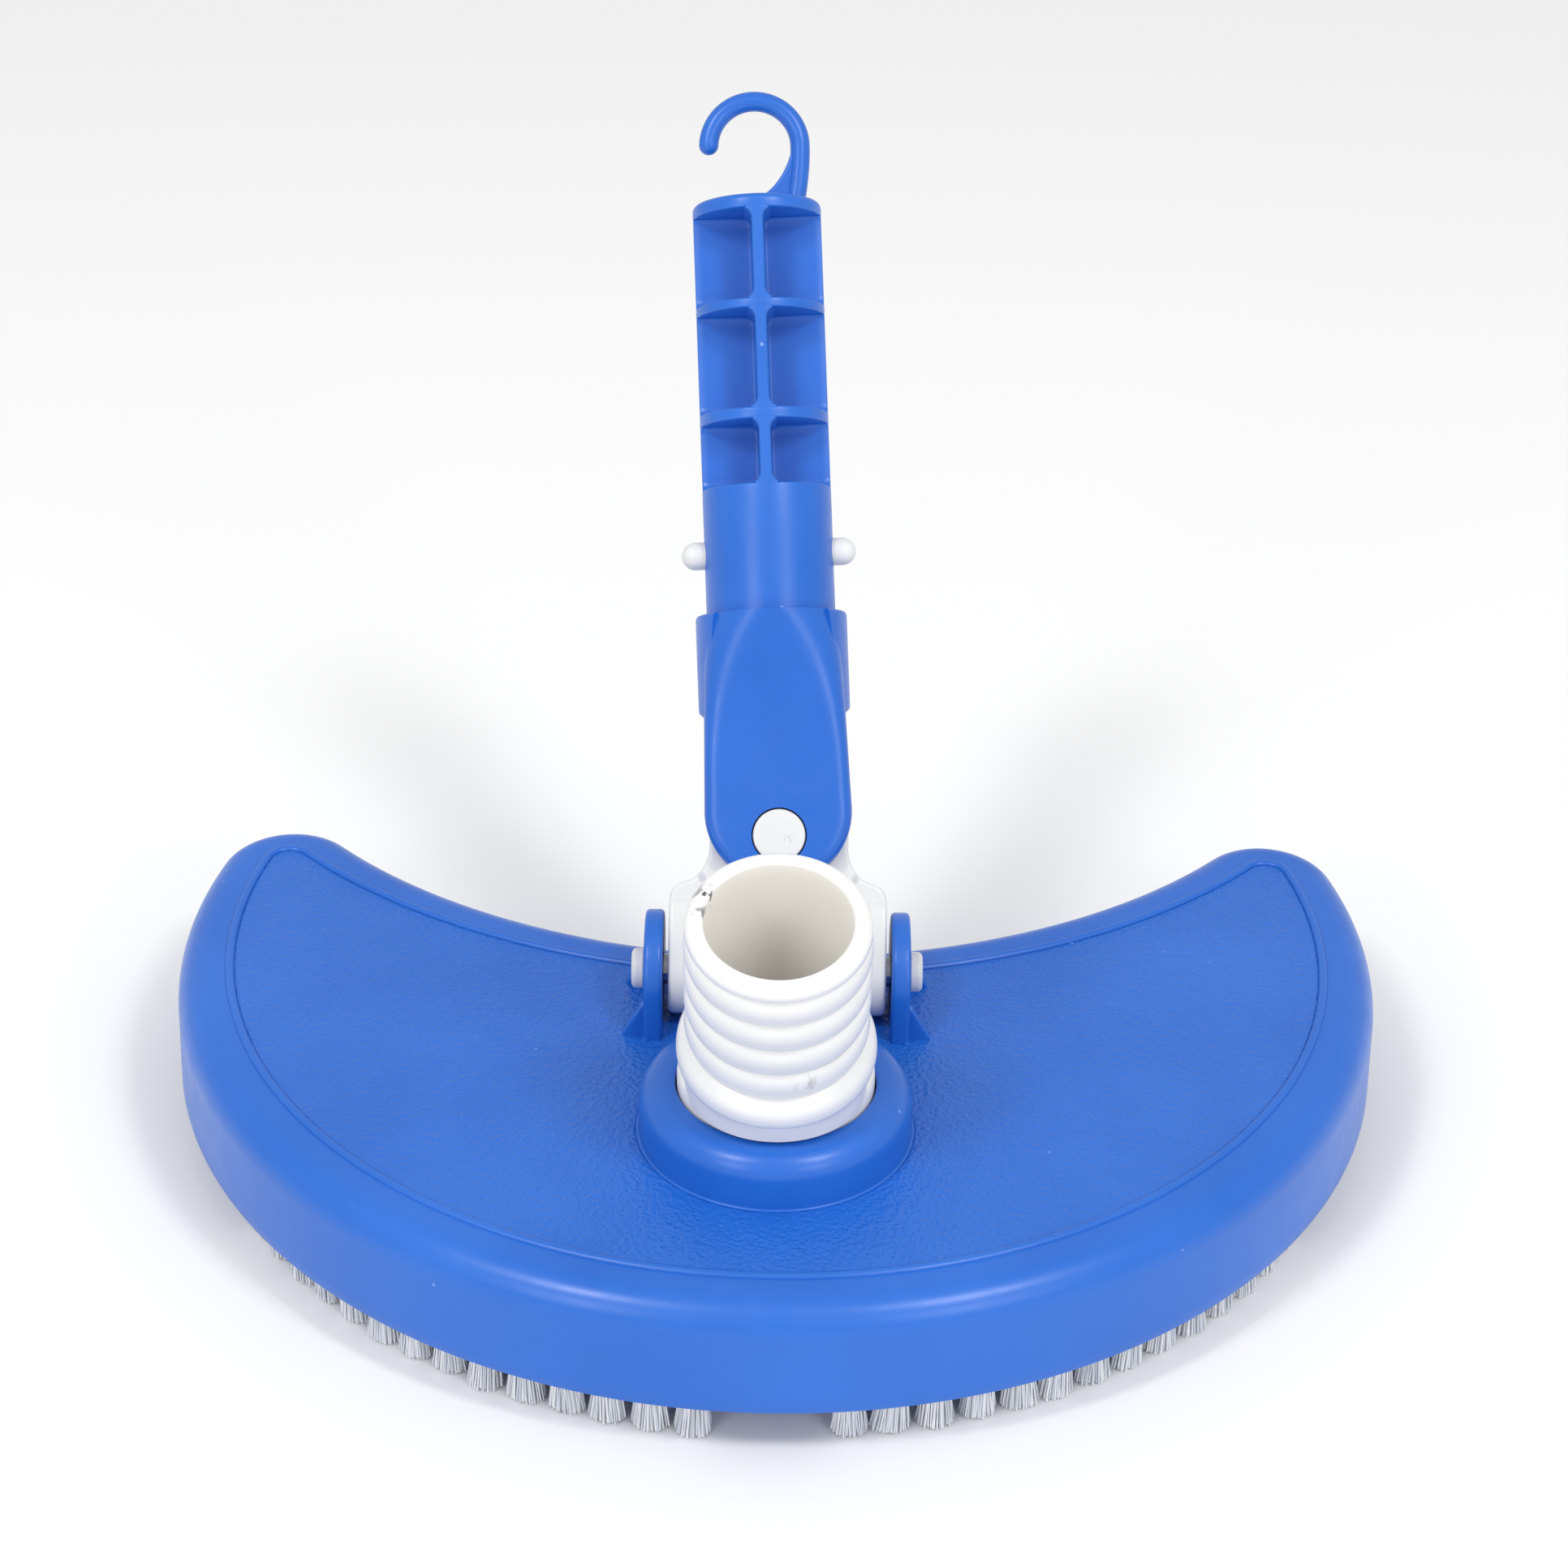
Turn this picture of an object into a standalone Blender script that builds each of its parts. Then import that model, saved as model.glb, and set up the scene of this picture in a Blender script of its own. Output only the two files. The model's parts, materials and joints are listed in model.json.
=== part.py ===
"""Half-moon pool vacuum head: weighted crescent shell, swivel hose connector and tilting pole handle.

The floor is z = 0, +Y points to the back (the hollow side of the crescent) and +X to the right.
"""

import math

import bmesh
import bpy
from mathutils import Matrix, Vector

MM = 0.001
GAP = 0.3 * MM                 # space left between pieces that touch
OVERLAP = 1.0 * MM             # how far joined shapes run into each other

# ---- crescent: the raised bead's outline, which everything on the head is offset from ----
FRONT_RADIUS = 126 * MM        # convex front arc of the bead
REAR_RADIUS = 155 * MM         # hollow rear arc of the bead
FRONT_CENTRE = 76 * MM         # how far behind the swivel the front arc has its centre
REAR_CENTRE = 213 * MM         # the same for the rear arc
TIP_RADIUS = 5.5 * MM          # round of the bead at the two horns
BEAD_WIDTH = 2.0 * MM
BEAD_HEIGHT = 0.7 * MM
FRONT_STEPS = 36               # straight steps in each arc of the outline
REAR_STEPS = 22
TIP_STEPS = 6

# ---- shell ----
SKIRT = 12.6 * MM              # outer wall, outside the bead
WALL = 3.0 * MM
SHELL_HEIGHT = 25 * MM
WALL_DRAFT = 0.6 * MM          # the outer wall leans in this much from rim to round
EDGE_ROUND = 7.5 * MM          # big round along the top edge
EDGE_STEPS = 4
BRISTLE_REACH = 12 * MM        # bristles standing out below the rim
RIM_Z = BRISTLE_REACH
TOP_Z = RIM_Z + SHELL_HEIGHT

# ---- base plate, weights and screws ----
PLATE_THICKNESS = 3.0 * MM
PLATE_RECESS = 2.0 * MM        # underside of the plate, above the rim
PLATE_FIT = 0.4 * MM
INTAKE_RADIUS = 20 * MM
WEIGHT_INNER = 95 * MM         # radii about the front arc's centre
WEIGHT_OUTER = 120 * MM
WEIGHT_ANGLES = (26, 60)       # degrees from straight ahead
WEIGHT_HEIGHT = 13.5 * MM
SCREW_RADIUS = 1.5 * MM
SCREW_HEAD_RADIUS = 3.2 * MM
SCREW_HEAD = 1.8 * MM
SCREW_CROWN_RADIUS = 2.2 * MM
SCREW_LENGTH = 12 * MM
BOSS_RADIUS = 4.2 * MM
SCREW_FIT = 0.35 * MM
FRONT_SCREW_ANGLE = 14         # degrees from straight ahead
FRONT_SCREW_INSET = 8 * MM     # inside the bead
REAR_SCREW_X = 48 * MM
REAR_SCREW_INSET = 5 * MM

# ---- brushes ----
TUFT_PITCH = 4.0               # degrees of front arc from tuft to tuft
TUFT_FIRST = 7.0               # degrees from straight ahead to the first tuft
FRONT_TUFTS = 14               # on each side
REAR_TUFTS = 6
REAR_TUFT_FIRST = 24.0
TUFT_INSET = 8.6 * MM          # tuft line, inside the outer wall
TUFT_ROOT = (5.4 * MM, 4.6 * MM)
TUFT_TIP = (7.2 * MM, 5.8 * MM)
STRIP_WIDTH = 7.0 * MM
STRIP_HEIGHT = 3.0 * MM
STRIP_OVERHANG = 2.4           # degrees of strip past the end tufts

# ---- swivel boss ----
BOSS_WALL = 4.55 * MM
BOSS_HEIGHT = 12.2 * MM
BOSS_ROUND = 5.5 * MM
LIP_RADIUS = 21.2 * MM
LIP_THICKNESS = 4.5 * MM
LIP_REACH = 3.2 * MM           # the lip reaches in over the flange
SEAL_THICKNESS = 0.8 * MM
RETAINER_THICKNESS = 3.0 * MM
RETAINER_BORE = 17.5 * MM

# ---- hose connector ----
TAIL_TILT = 16.5               # degrees forward
TAIL_LENGTH = 66.6 * MM        # along the tilted axis from the shell's top plane
TAIL_SETBACK = 0.8 * MM        # the tilted axis starts this far behind the swivel axis
RIM_RADIUS = 18.8 * MM
TAIL_BORE = 15.0 * MM
RIM_BAND = 3.7 * MM
RIB_COUNT = 4
RIB_PITCH = 7.75 * MM
RIB_RADIUS = 19.0 * MM
GROOVE_RADIUS = 18.35 * MM
COLLAR_RADIUS = 20.8 * MM
COLLAR_HEIGHT = 7.0 * MM
TAIL_ROOT_RADIUS = 19.2 * MM
TAIL_ROOT_FOOT = 10.5 * MM     # lower end of the tilted stem, inside the barrel
LIP_CLEARANCE = 0.8 * MM       # above the boss, so the leaning tail passes over it
BARREL_FIT = 0.35 * MM
BARREL_BORE = 17.0 * MM
BARREL_TOP = 3.3 * MM          # barrel showing above the boss
FLANGE_FIT = 0.6 * MM
FLANGE_THICKNESS = 2.8 * MM

# ---- tilt hinge ----
HINGE_Y = 43.8 * MM            # behind the swivel
HINGE_HEIGHT = 10.5 * MM       # above the shell's top plane
EAR_RADIUS = 13.2 * MM
EAR_THICKNESS = 4.15 * MM
EAR_SPAN = 54.5 * MM           # centre to centre
GUSSET_REACH = 4.8 * MM
GUSSET_HEIGHT = 8.0 * MM
GUSSET_THICKNESS = 2.2 * MM
GUSSET_INSET = 3.0 * MM        # from the ear's front or back edge to the gusset's middle
AXLE_RADIUS = 3.4 * MM
AXLE_FIT = 0.3 * MM
CAP_RADIUS = 4.45 * MM
CAP_THICKNESS = 2.7 * MM
CAP_STUB_RADIUS = 1.6 * MM
CAP_STUB_LENGTH = 7.0 * MM

# ---- yoke ----
HANDLE_RAISE = 57.5            # degrees above the floor
SIDE_PLAY = 1.15 * MM          # yoke to ear
YOKE_BARREL = 9.9 * MM
SHOULDER_Z = 18.4 * MM
SHOULDER_DEPTH = 7.0 * MM      # half the block's depth
NECK_Z = 26.0 * MM
PIN_Z = 29.8 * MM              # clevis pin, from the hinge axis
TONGUE_RADIUS = 15.4 * MM
TONGUE_DEPTH = 4.7 * MM        # half
RELIEF_RADIUS = 18.9 * MM      # room for the fork to swing

# ---- handle, measured from the clevis pin along the handle ----
HANDLE_LEAN = 2.9              # degrees to the left at rest
FORK_DEPTH = 10.6 * MM         # half
FORK_FIT = 0.4 * MM
FORK_END_RADIUS = 16.3 * MM
FORK_END_CENTRE = 5.4 * MM
FORK_TOP_WIDTH = 15.0 * MM     # half
SLOT_TOP = 19.0 * MM
PIN_HEAD_RADIUS = 5.8 * MM
PIN_RADIUS = 4.0 * MM
PIN_CAP_THICKNESS = 2.4 * MM
COLLAR_FROM = 26.3 * MM
COLLAR_TO = 49.6 * MM
GRIP_COLLAR_RADIUS = 16.9 * MM
SHANK_RADIUS = 14.4 * MM
SHANK_TO = 77.6 * MM
RIB_LEVELS = ((91.7 * MM, 94.3 * MM), (116.2 * MM, 118.4 * MM))
CAP_FROM = 138.4 * MM
CAP_TO = 141.6 * MM
WEB_HALF = 1.25 * MM
BUTTON_Z = 63.1 * MM
BUTTON_RADIUS = 3.1 * MM
BUTTON_PROUD = 5.1 * MM
BUTTON_LENGTH = 12.6 * MM
BUTTON_FLANGE = 1.2 * MM
SPRING_ROOM_RADIUS = 9.4 * MM
SPRING_ROOM_Z = (51.0 * MM, 71.0 * MM)
SPRING_THICKNESS = 0.9 * MM
SPRING_WIDTH = 5.0 * MM
HOOK_WIRE = 2.2 * MM
HOOK_RADIUS = 10.25 * MM
HOOK_CENTRE = 154.8 * MM
HOOK_OPENING = 176             # degrees of loop from the right side round to the open end
HOOK_LEAN = 2.0 * MM           # the wire leans out this much on its way up to the loop
HOOK_WEB = 2.2 * MM

# The origin is on the floor under the middle of the whole object.
RAISE = math.radians(HANDLE_RAISE)
FRONT_REACH = FRONT_RADIUS + SKIRT - FRONT_CENTRE
BACK_REACH = (HINGE_Y + PIN_Z * math.cos(RAISE) + HOOK_WIRE
              + (HOOK_CENTRE * math.cos(math.radians(HANDLE_LEAN)) + HOOK_RADIUS) * math.cos(RAISE))
SWIVEL_Y = (FRONT_REACH - BACK_REACH) / 2

PLATE_Z = RIM_Z + PLATE_RECESS
PLATE_TOP = PLATE_Z + PLATE_THICKNESS
CAVITY_TOP = TOP_Z - WALL
EAR_INNER = (EAR_SPAN - EAR_THICKNESS) / 2
EAR_OUTER = (EAR_SPAN + EAR_THICKNESS) / 2
YOKE_HALF = EAR_INNER - SIDE_PLAY
BARREL_RADIUS = LIP_RADIUS - BARREL_FIT
SLOT_DEPTH = TONGUE_DEPTH + FORK_FIT
SOCKET_RADIUS = LIP_RADIUS + LIP_REACH
BOSS_OUTER = SOCKET_RADIUS + BOSS_WALL
FLANGE_RADIUS = SOCKET_RADIUS - FLANGE_FIT

for leftover in list(bpy.data.objects):
    bpy.data.objects.remove(leftover, do_unlink=True)

PARTS = bpy.data.collections.new("pool_vacuum_head")
CUTTERS = bpy.data.collections.new("cutters")
for collection in (PARTS, CUTTERS):
    bpy.context.scene.collection.children.link(collection)


# ---------------------------------------------------------------- materials

def material(name, colour, roughness, metallic=0.0):
    made = bpy.data.materials.new(name)
    made.use_nodes = True
    shader = made.node_tree.nodes["Principled BSDF"]
    shader.inputs["Base Color"].default_value = (*colour, 1.0)
    shader.inputs["Roughness"].default_value = roughness
    shader.inputs["Metallic"].default_value = metallic
    made.diffuse_color = (*colour, 1.0)
    return made


BLUE = (0.07, 0.21, 0.74)
WHITE = (0.90, 0.90, 0.89)
BRISTLE = (0.62, 0.66, 0.72)
STEEL = (0.45, 0.45, 0.47)


# ---------------------------------------------------------------- building tools

def empty(name, location, rotation=(0, 0, 0), parent=None):
    """An axis that pieces are placed on."""
    made = bpy.data.objects.new(name, None)
    made.empty_display_size = 10 * MM
    made.location = location
    made.rotation_euler = rotation
    made.parent = parent
    PARTS.objects.link(made)
    return made


def place(obj, parent, location=(0, 0, 0), rotation=(0, 0, 0)):
    obj.parent = parent
    obj.location = location
    obj.rotation_euler = rotation
    return obj


def as_part(obj, finish):
    """Puts a shape in the object's collection with its own material and smooth round faces."""
    PARTS.objects.link(obj)
    obj.data.materials.clear()
    obj.data.materials.append(material(obj.name + "_finish", *finish))
    obj.data.shade_smooth()
    obj.data.set_sharp_from_angle(angle=math.radians(35))
    return obj


def as_cutter(obj):
    """Keeps a shape that only joins or cuts another out of the finished object."""
    CUTTERS.objects.link(obj)
    obj.hide_render = True
    obj.display_type = "WIRE"
    return obj


def boolean(obj, other, operation):
    modifier = obj.modifiers.new(other.name, "BOOLEAN")
    modifier.operation = operation
    modifier.solver = "EXACT"
    modifier.object = as_cutter(other)
    return obj


def join(obj, *others):
    for other in others:
        boolean(obj, other, "UNION")
    return obj


def cut(obj, *others):
    for other in others:
        boolean(obj, other, "DIFFERENCE")
    return obj


def mesh_object(name, bm):
    """A loose object from a bmesh, with its faces turned outwards."""
    bmesh.ops.remove_doubles(bm, verts=bm.verts, dist=1e-7)
    bmesh.ops.recalc_face_normals(bm, faces=bm.faces)
    mesh = bpy.data.meshes.new(name)
    bm.to_mesh(mesh)
    bm.free()
    return bpy.data.objects.new(name, mesh)


def welded(curve_object):
    """Turns a curve object into a closed mesh object."""
    bpy.context.scene.collection.objects.link(curve_object)
    depsgraph = bpy.context.evaluated_depsgraph_get()
    mesh = bpy.data.meshes.new_from_object(curve_object.evaluated_get(depsgraph))
    name = curve_object.name
    bpy.data.objects.remove(curve_object, do_unlink=True)
    bm = bmesh.new()
    bm.from_mesh(mesh)
    bmesh.ops.remove_doubles(bm, verts=bm.verts, dist=1e-6)
    bpy.data.meshes.remove(mesh)
    return mesh_object(name, bm)


def slab(name, outlines, low, high, plane="XY"):
    """A flat outline with a thickness from low to high; further outlines inside the first are holes."""
    curve = bpy.data.curves.new(name, "CURVE")
    curve.dimensions = "2D"
    curve.fill_mode = "BOTH"
    curve.extrude = (high - low) / 2
    for points in outlines:
        spline = curve.splines.new("POLY")
        spline.points.add(len(points) - 1)
        for point, (x, y) in zip(spline.points, points):
            point.co = (x, y, 0, 1)
        spline.use_cyclic_u = True
    obj = welded(bpy.data.objects.new(name, curve))
    obj.data.transform(Matrix.Translation((0, 0, (high + low) / 2)))
    turns = {
        "XY": Matrix.Identity(4),
        "XZ": Matrix.Rotation(math.pi / 2, 4, "X"),
        "YZ": Matrix(((0, 0, 1, 0), (1, 0, 0, 0), (0, 1, 0, 0), (0, 0, 0, 1))),
    }
    obj.data.transform(turns[plane])
    return obj


def turned(name, profile, steps=32):
    """Turns a closed or axis-to-axis outline of (radius, height) points about Z."""
    bm = bmesh.new()
    corners = [bm.verts.new((radius, 0, height)) for radius, height in profile]
    for first, second in zip(corners, corners[1:]):
        bm.edges.new((first, second))
    if profile[0][0] > 0:
        bm.edges.new((corners[-1], corners[0]))
    bmesh.ops.spin(bm, geom=bm.verts[:] + bm.edges[:], cent=(0, 0, 0), axis=(0, 0, 1),
                   angle=math.tau, steps=steps, use_merge=True)
    return mesh_object(name, bm)


def rod(name, radius, low, high, steps=32):
    """A plain cylinder about Z from low to high."""
    bm = bmesh.new()
    bmesh.ops.create_cone(bm, cap_ends=True, segments=steps, radius1=radius, radius2=radius,
                          depth=high - low)
    bmesh.ops.translate(bm, verts=bm.verts, vec=(0, 0, (low + high) / 2))
    return mesh_object(name, bm)


def box(name, low, high):
    bm = bmesh.new()
    bmesh.ops.create_cube(bm, size=1)
    size = [b - a for a, b in zip(low, high)]
    middle = [(a + b) / 2 for a, b in zip(low, high)]
    bmesh.ops.scale(bm, verts=bm.verts, vec=size)
    bmesh.ops.translate(bm, verts=bm.verts, vec=middle)
    return mesh_object(name, bm)


def aimed(obj, axis):
    """Turns a shape made about Z so that it runs along X or Y instead."""
    turn = {"X": Matrix.Rotation(math.pi / 2, 4, "Y"), "Y": Matrix.Rotation(math.pi / 2, 4, "X")}
    obj.data.transform(turn[axis])
    return obj


def moved(obj, offset):
    obj.data.transform(Matrix.Translation(offset))
    return obj


def mirrored(obj, name):
    """A left-hand copy of a right-hand shape."""
    copy = bpy.data.objects.new(name, obj.data.copy())
    copy.data.transform(Matrix.Scale(-1, 4, Vector((1, 0, 0))))
    copy.data.flip_normals()
    return copy


def round_edges(obj, width, segments=2, angle=40):
    modifier = obj.modifiers.new("round", "BEVEL")
    modifier.width = width
    modifier.segments = segments
    modifier.limit_method = "ANGLE"
    modifier.angle_limit = math.radians(angle)
    return obj


def arc(centre, radius, start, end, steps):
    """Points of an arc from start to end, in degrees."""
    angles = [math.radians(start + (end - start) * i / steps) for i in range(steps + 1)]
    return [(centre[0] + radius * math.cos(a), centre[1] + radius * math.sin(a)) for a in angles]


# ---------------------------------------------------------------- crescent

def horn_centre():
    """Centre of the right-hand horn, whose circle touches both arcs."""
    front = FRONT_RADIUS - TIP_RADIUS
    rear = REAR_RADIUS + TIP_RADIUS
    apart = REAR_CENTRE - FRONT_CENTRE
    along = (front ** 2 - rear ** 2 + apart ** 2) / (2 * apart)
    return (math.sqrt(front ** 2 - along ** 2), FRONT_CENTRE + along)


def crescent(offset):
    """The bead's outline moved outwards by offset, about the swivel axis."""
    x, y = horn_centre()
    front = math.degrees(math.atan2(y - FRONT_CENTRE, x))
    rear = math.degrees(math.atan2(y - REAR_CENTRE, x))
    horn = TIP_RADIUS + offset
    outline = arc((0, FRONT_CENTRE), FRONT_RADIUS + offset, -180 - front, front, FRONT_STEPS)
    outline += arc((x, y), horn, front, rear + 180, TIP_STEPS)[1:]
    outline += arc((0, REAR_CENTRE), REAR_RADIUS - offset, rear, -180 - rear, REAR_STEPS)[1:]
    outline += arc((-x, y), horn, -rear, 180 - front, TIP_STEPS)[1:-1]
    return outline


def rounded_crescent(name, offset, low, high, edge_round):
    """A crescent block lofted through its outlines, drawn in along the rounded top edge."""
    levels = [(offset, low)]
    for step in range(EDGE_STEPS + 1):
        angle = math.radians(90 * step / EDGE_STEPS)
        drawn_in = WALL_DRAFT + edge_round * (1 - math.cos(angle))
        levels.append((offset - drawn_in, high - edge_round * (1 - math.sin(angle))))
    bm = bmesh.new()
    rings = [[bm.verts.new((x, y, z)) for x, y in crescent(level)] for level, z in levels]
    for lower, upper in zip(rings, rings[1:]):
        for i in range(len(lower)):
            bm.faces.new((lower[i - 1], lower[i], upper[i], upper[i - 1]))
    bm.faces.new(rings[0])
    bm.faces.new(rings[-1])
    return mesh_object(name, bm)


def screw_places():
    """The six screws that hold the base plate, about the swivel axis."""
    angle = math.radians(FRONT_SCREW_ANGLE)
    radius = FRONT_RADIUS - FRONT_SCREW_INSET
    front = (radius * math.sin(angle), FRONT_CENTRE - radius * math.cos(angle))
    radius = REAR_RADIUS + REAR_SCREW_INSET
    rear = (REAR_SCREW_X, REAR_CENTRE - math.sqrt(radius ** 2 - REAR_SCREW_X ** 2))
    right = [front, rear, horn_centre()]
    return right + [(-x, y) for x, y in right]


# ---------------------------------------------------------------- head

def ear(side, hinge):
    """One hinge ear with its two gussets on the outer side."""
    foot = -HINGE_HEIGHT - 2 * OVERLAP
    outline = [(-EAR_RADIUS, foot), (EAR_RADIUS, foot)] + arc((0, 0), EAR_RADIUS, 0, 180, 16)
    plate = slab(f"ear_{side}", [outline], EAR_INNER, EAR_OUTER, "YZ")
    triangle = [(EAR_OUTER - OVERLAP, foot + OVERLAP), (EAR_OUTER + GUSSET_REACH, foot + OVERLAP),
                (EAR_OUTER + GUSSET_REACH, -HINGE_HEIGHT),
                (EAR_OUTER - OVERLAP, GUSSET_HEIGHT - HINGE_HEIGHT)]
    gussets = []
    for number, y in enumerate((GUSSET_INSET - EAR_RADIUS, EAR_RADIUS - GUSSET_INSET)):
        gusset = slab(f"gusset_{side}_{number}", [triangle], y - GUSSET_THICKNESS / 2,
                      y + GUSSET_THICKNESS / 2, "XZ")
        gussets.append(gusset)
    if side == "left":
        for shape in (plate, *gussets):
            shape.data.transform(Matrix.Scale(-1, 4, Vector((1, 0, 0))))
            shape.data.flip_normals()
    return join(place(plate, hinge), *[place(gusset, hinge) for gusset in gussets])


def shell(swivel, hinge):
    """Blue moulding: crescent cover, bead, swivel boss with its duct, hinge ears and screw bosses."""
    body = as_part(rounded_crescent("shell", SKIRT, RIM_Z - TOP_Z, 0, EDGE_ROUND), (BLUE, 0.36))
    place(body, swivel)
    cavity = rounded_crescent("shell_cavity", SKIRT - WALL, RIM_Z - TOP_Z - OVERLAP, -WALL,
                              EDGE_ROUND - WALL)
    bead = slab("bead", [crescent(BEAD_WIDTH / 2), crescent(-BEAD_WIDTH / 2)], -OVERLAP,
                BEAD_HEIGHT)
    duct_foot = PLATE_TOP + GAP - TOP_Z
    boss_profile = [(0, BOSS_HEIGHT)]
    boss_profile += arc((BOSS_OUTER - BOSS_ROUND, BOSS_HEIGHT - BOSS_ROUND), BOSS_ROUND, 90, 0, 5)
    boss_profile += [(BOSS_OUTER, duct_foot), (0, duct_foot)]
    boss = turned("swivel_boss", boss_profile, 40)
    socket_top = BOSS_HEIGHT - LIP_THICKNESS
    bore = turned("swivel_bore", [
        (0, BOSS_HEIGHT + OVERLAP), (LIP_RADIUS, BOSS_HEIGHT + OVERLAP), (LIP_RADIUS, socket_top),
        (SOCKET_RADIUS, socket_top), (SOCKET_RADIUS, duct_foot - OVERLAP),
        (0, duct_foot - OVERLAP)], 40)
    for shape in (cavity, bead, boss, bore):
        place(shape, swivel)
    cut(body, cavity)
    join(body, boss)
    join(body, ear("right", hinge), ear("left", hinge))
    reach = EAR_OUTER + OVERLAP
    ear_bore = aimed(rod("ear_bore", AXLE_RADIUS + AXLE_FIT, -reach, reach, 24), "X")
    cut(body, bore, place(ear_bore, hinge))
    for number, (x, y) in enumerate(screw_places()):
        post = moved(rod(f"post_{number}", BOSS_RADIUS, duct_foot, OVERLAP - WALL, 16), (x, y, 0))
        hole = moved(rod(f"post_hole_{number}", SCREW_RADIUS + SCREW_FIT, duct_foot - OVERLAP,
                         duct_foot + SCREW_LENGTH, 12), (x, y, 0))
        join(body, place(post, swivel))
        cut(body, place(hole, swivel))
    join(body, bead)


def base_plate(floor):
    """Blue cover under the shell, with the round intake and six screw holes."""
    plate = slab("base_plate", [crescent(SKIRT - WALL - PLATE_FIT)], PLATE_Z, PLATE_TOP)
    place(as_part(plate, (BLUE, 0.4)), floor)
    low = PLATE_Z - OVERLAP
    high = PLATE_TOP + OVERLAP
    cut(plate, place(rod("intake", INTAKE_RADIUS, low, high, 48), floor))
    for number, (x, y) in enumerate(screw_places()):
        hole = moved(rod(f"plate_hole_{number}", SCREW_RADIUS + SCREW_FIT, low, high, 12), (x, y, 0))
        cut(plate, place(hole, floor))
    return plate


def screws(floor):
    """Pan-head screws driven up through the base plate into the shell's bosses."""
    head_top = PLATE_Z - GAP
    profile = [(0, head_top + SCREW_LENGTH), (SCREW_RADIUS, head_top + SCREW_LENGTH),
               (SCREW_RADIUS, head_top), (SCREW_HEAD_RADIUS, head_top),
               (SCREW_HEAD_RADIUS, head_top - SCREW_HEAD / 2),
               (SCREW_CROWN_RADIUS, head_top - SCREW_HEAD), (0, head_top - SCREW_HEAD)]
    for number, (x, y) in enumerate(screw_places()):
        screw = turned(f"base_screw_{number + 1}", profile, 12)
        place(as_part(screw, (STEEL, 0.3, 1.0)), floor, (x, y, 0))


def weights(floor):
    """Steel ballast bars that lie on the base plate, one in each wing."""
    start, end = WEIGHT_ANGLES
    low = PLATE_TOP + GAP
    outline = arc((0, FRONT_CENTRE), WEIGHT_OUTER, start - 90, end - 90, 10)
    outline += arc((0, FRONT_CENTRE), WEIGHT_INNER, end - 90, start - 90, 10)
    right = round_edges(slab("weight_right", [outline], low, low + WEIGHT_HEIGHT), 1 * MM)
    left = round_edges(mirrored(right, "weight_left"), 1 * MM)
    for bar in (right, left):
        place(as_part(bar, ((0.22, 0.22, 0.23), 0.55, 1.0)), floor)


# ---------------------------------------------------------------- brushes

def tuft(bm, centre, direction):
    """One bundle of bristles, wider at its tips; direction is along the strip."""
    steps = 8
    across = (-direction[1], direction[0])
    rings = []
    for size, z in ((TUFT_ROOT, PLATE_Z - GAP - STRIP_HEIGHT / 2), (TUFT_TIP, 0)):
        ring = []
        for i in range(steps):
            angle = math.tau * i / steps
            along = size[0] / 2 * math.cos(angle)
            sideways = size[1] / 2 * math.sin(angle)
            x = centre[0] + along * direction[0] + sideways * across[0]
            y = centre[1] + along * direction[1] + sideways * across[1]
            ring.append(bm.verts.new((x, y, z)))
        rings.append(ring)
    bm.faces.new(rings[0])
    bm.faces.new(reversed(rings[1]))
    for i in range(steps):
        after = (i + 1) % steps
        bm.faces.new((rings[0][i], rings[1][i], rings[1][after], rings[0][after]))


def brush(name, centre_y, radius, angles, floor):
    """A curved strip with a row of tufts; angles are measured from the middle of the head."""
    turn = [math.radians(angle) for angle in angles]
    overhang = STRIP_OVERHANG if angles[-1] > angles[0] else -STRIP_OVERHANG
    first = angles[0] - overhang - 90
    last = angles[-1] + overhang - 90
    steps = 2 * len(angles)
    outline = arc((0, centre_y), radius + STRIP_WIDTH / 2, first, last, steps)
    outline += arc((0, centre_y), radius - STRIP_WIDTH / 2, last, first, steps)
    top = PLATE_Z - GAP
    strip = slab(name, [outline], top - STRIP_HEIGHT, top)
    bm = bmesh.new()
    for angle in turn:
        centre = (radius * math.sin(angle), centre_y - radius * math.cos(angle))
        tuft(bm, centre, (math.cos(angle), math.sin(angle)))
    tufts = mesh_object(name + "_tufts", bm)
    place(as_part(strip, (BRISTLE, 0.6)), floor)
    join(strip, place(tufts, floor))


def brushes(floor):
    """Long brushes under the front edge and short ones under the horns' rear edge."""
    front_radius = FRONT_RADIUS + SKIRT - TUFT_INSET
    rear_radius = REAR_RADIUS - SKIRT + TUFT_INSET
    rear_pitch = math.degrees(math.radians(TUFT_PITCH) * front_radius / rear_radius)
    for side, sign in (("right", 1), ("left", -1)):
        front = [sign * (TUFT_FIRST + TUFT_PITCH * i) for i in range(FRONT_TUFTS)]
        rear = [sign * (REAR_TUFT_FIRST + rear_pitch * i) for i in range(REAR_TUFTS)]
        brush(f"brush_front_{side}", FRONT_CENTRE, front_radius, front, floor)
        brush(f"brush_rear_{side}", REAR_CENTRE, rear_radius, rear, floor)


# ---------------------------------------------------------------- swivel

def connector_levels():
    """Heights of the swivel stack about the shell's top plane: flange top, flange foot, ring foot."""
    flange_top = BOSS_HEIGHT - LIP_THICKNESS - SEAL_THICKNESS - 2 * GAP
    flange_foot = flange_top - FLANGE_THICKNESS
    return flange_top, flange_foot, flange_foot - GAP - RETAINER_THICKNESS


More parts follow.
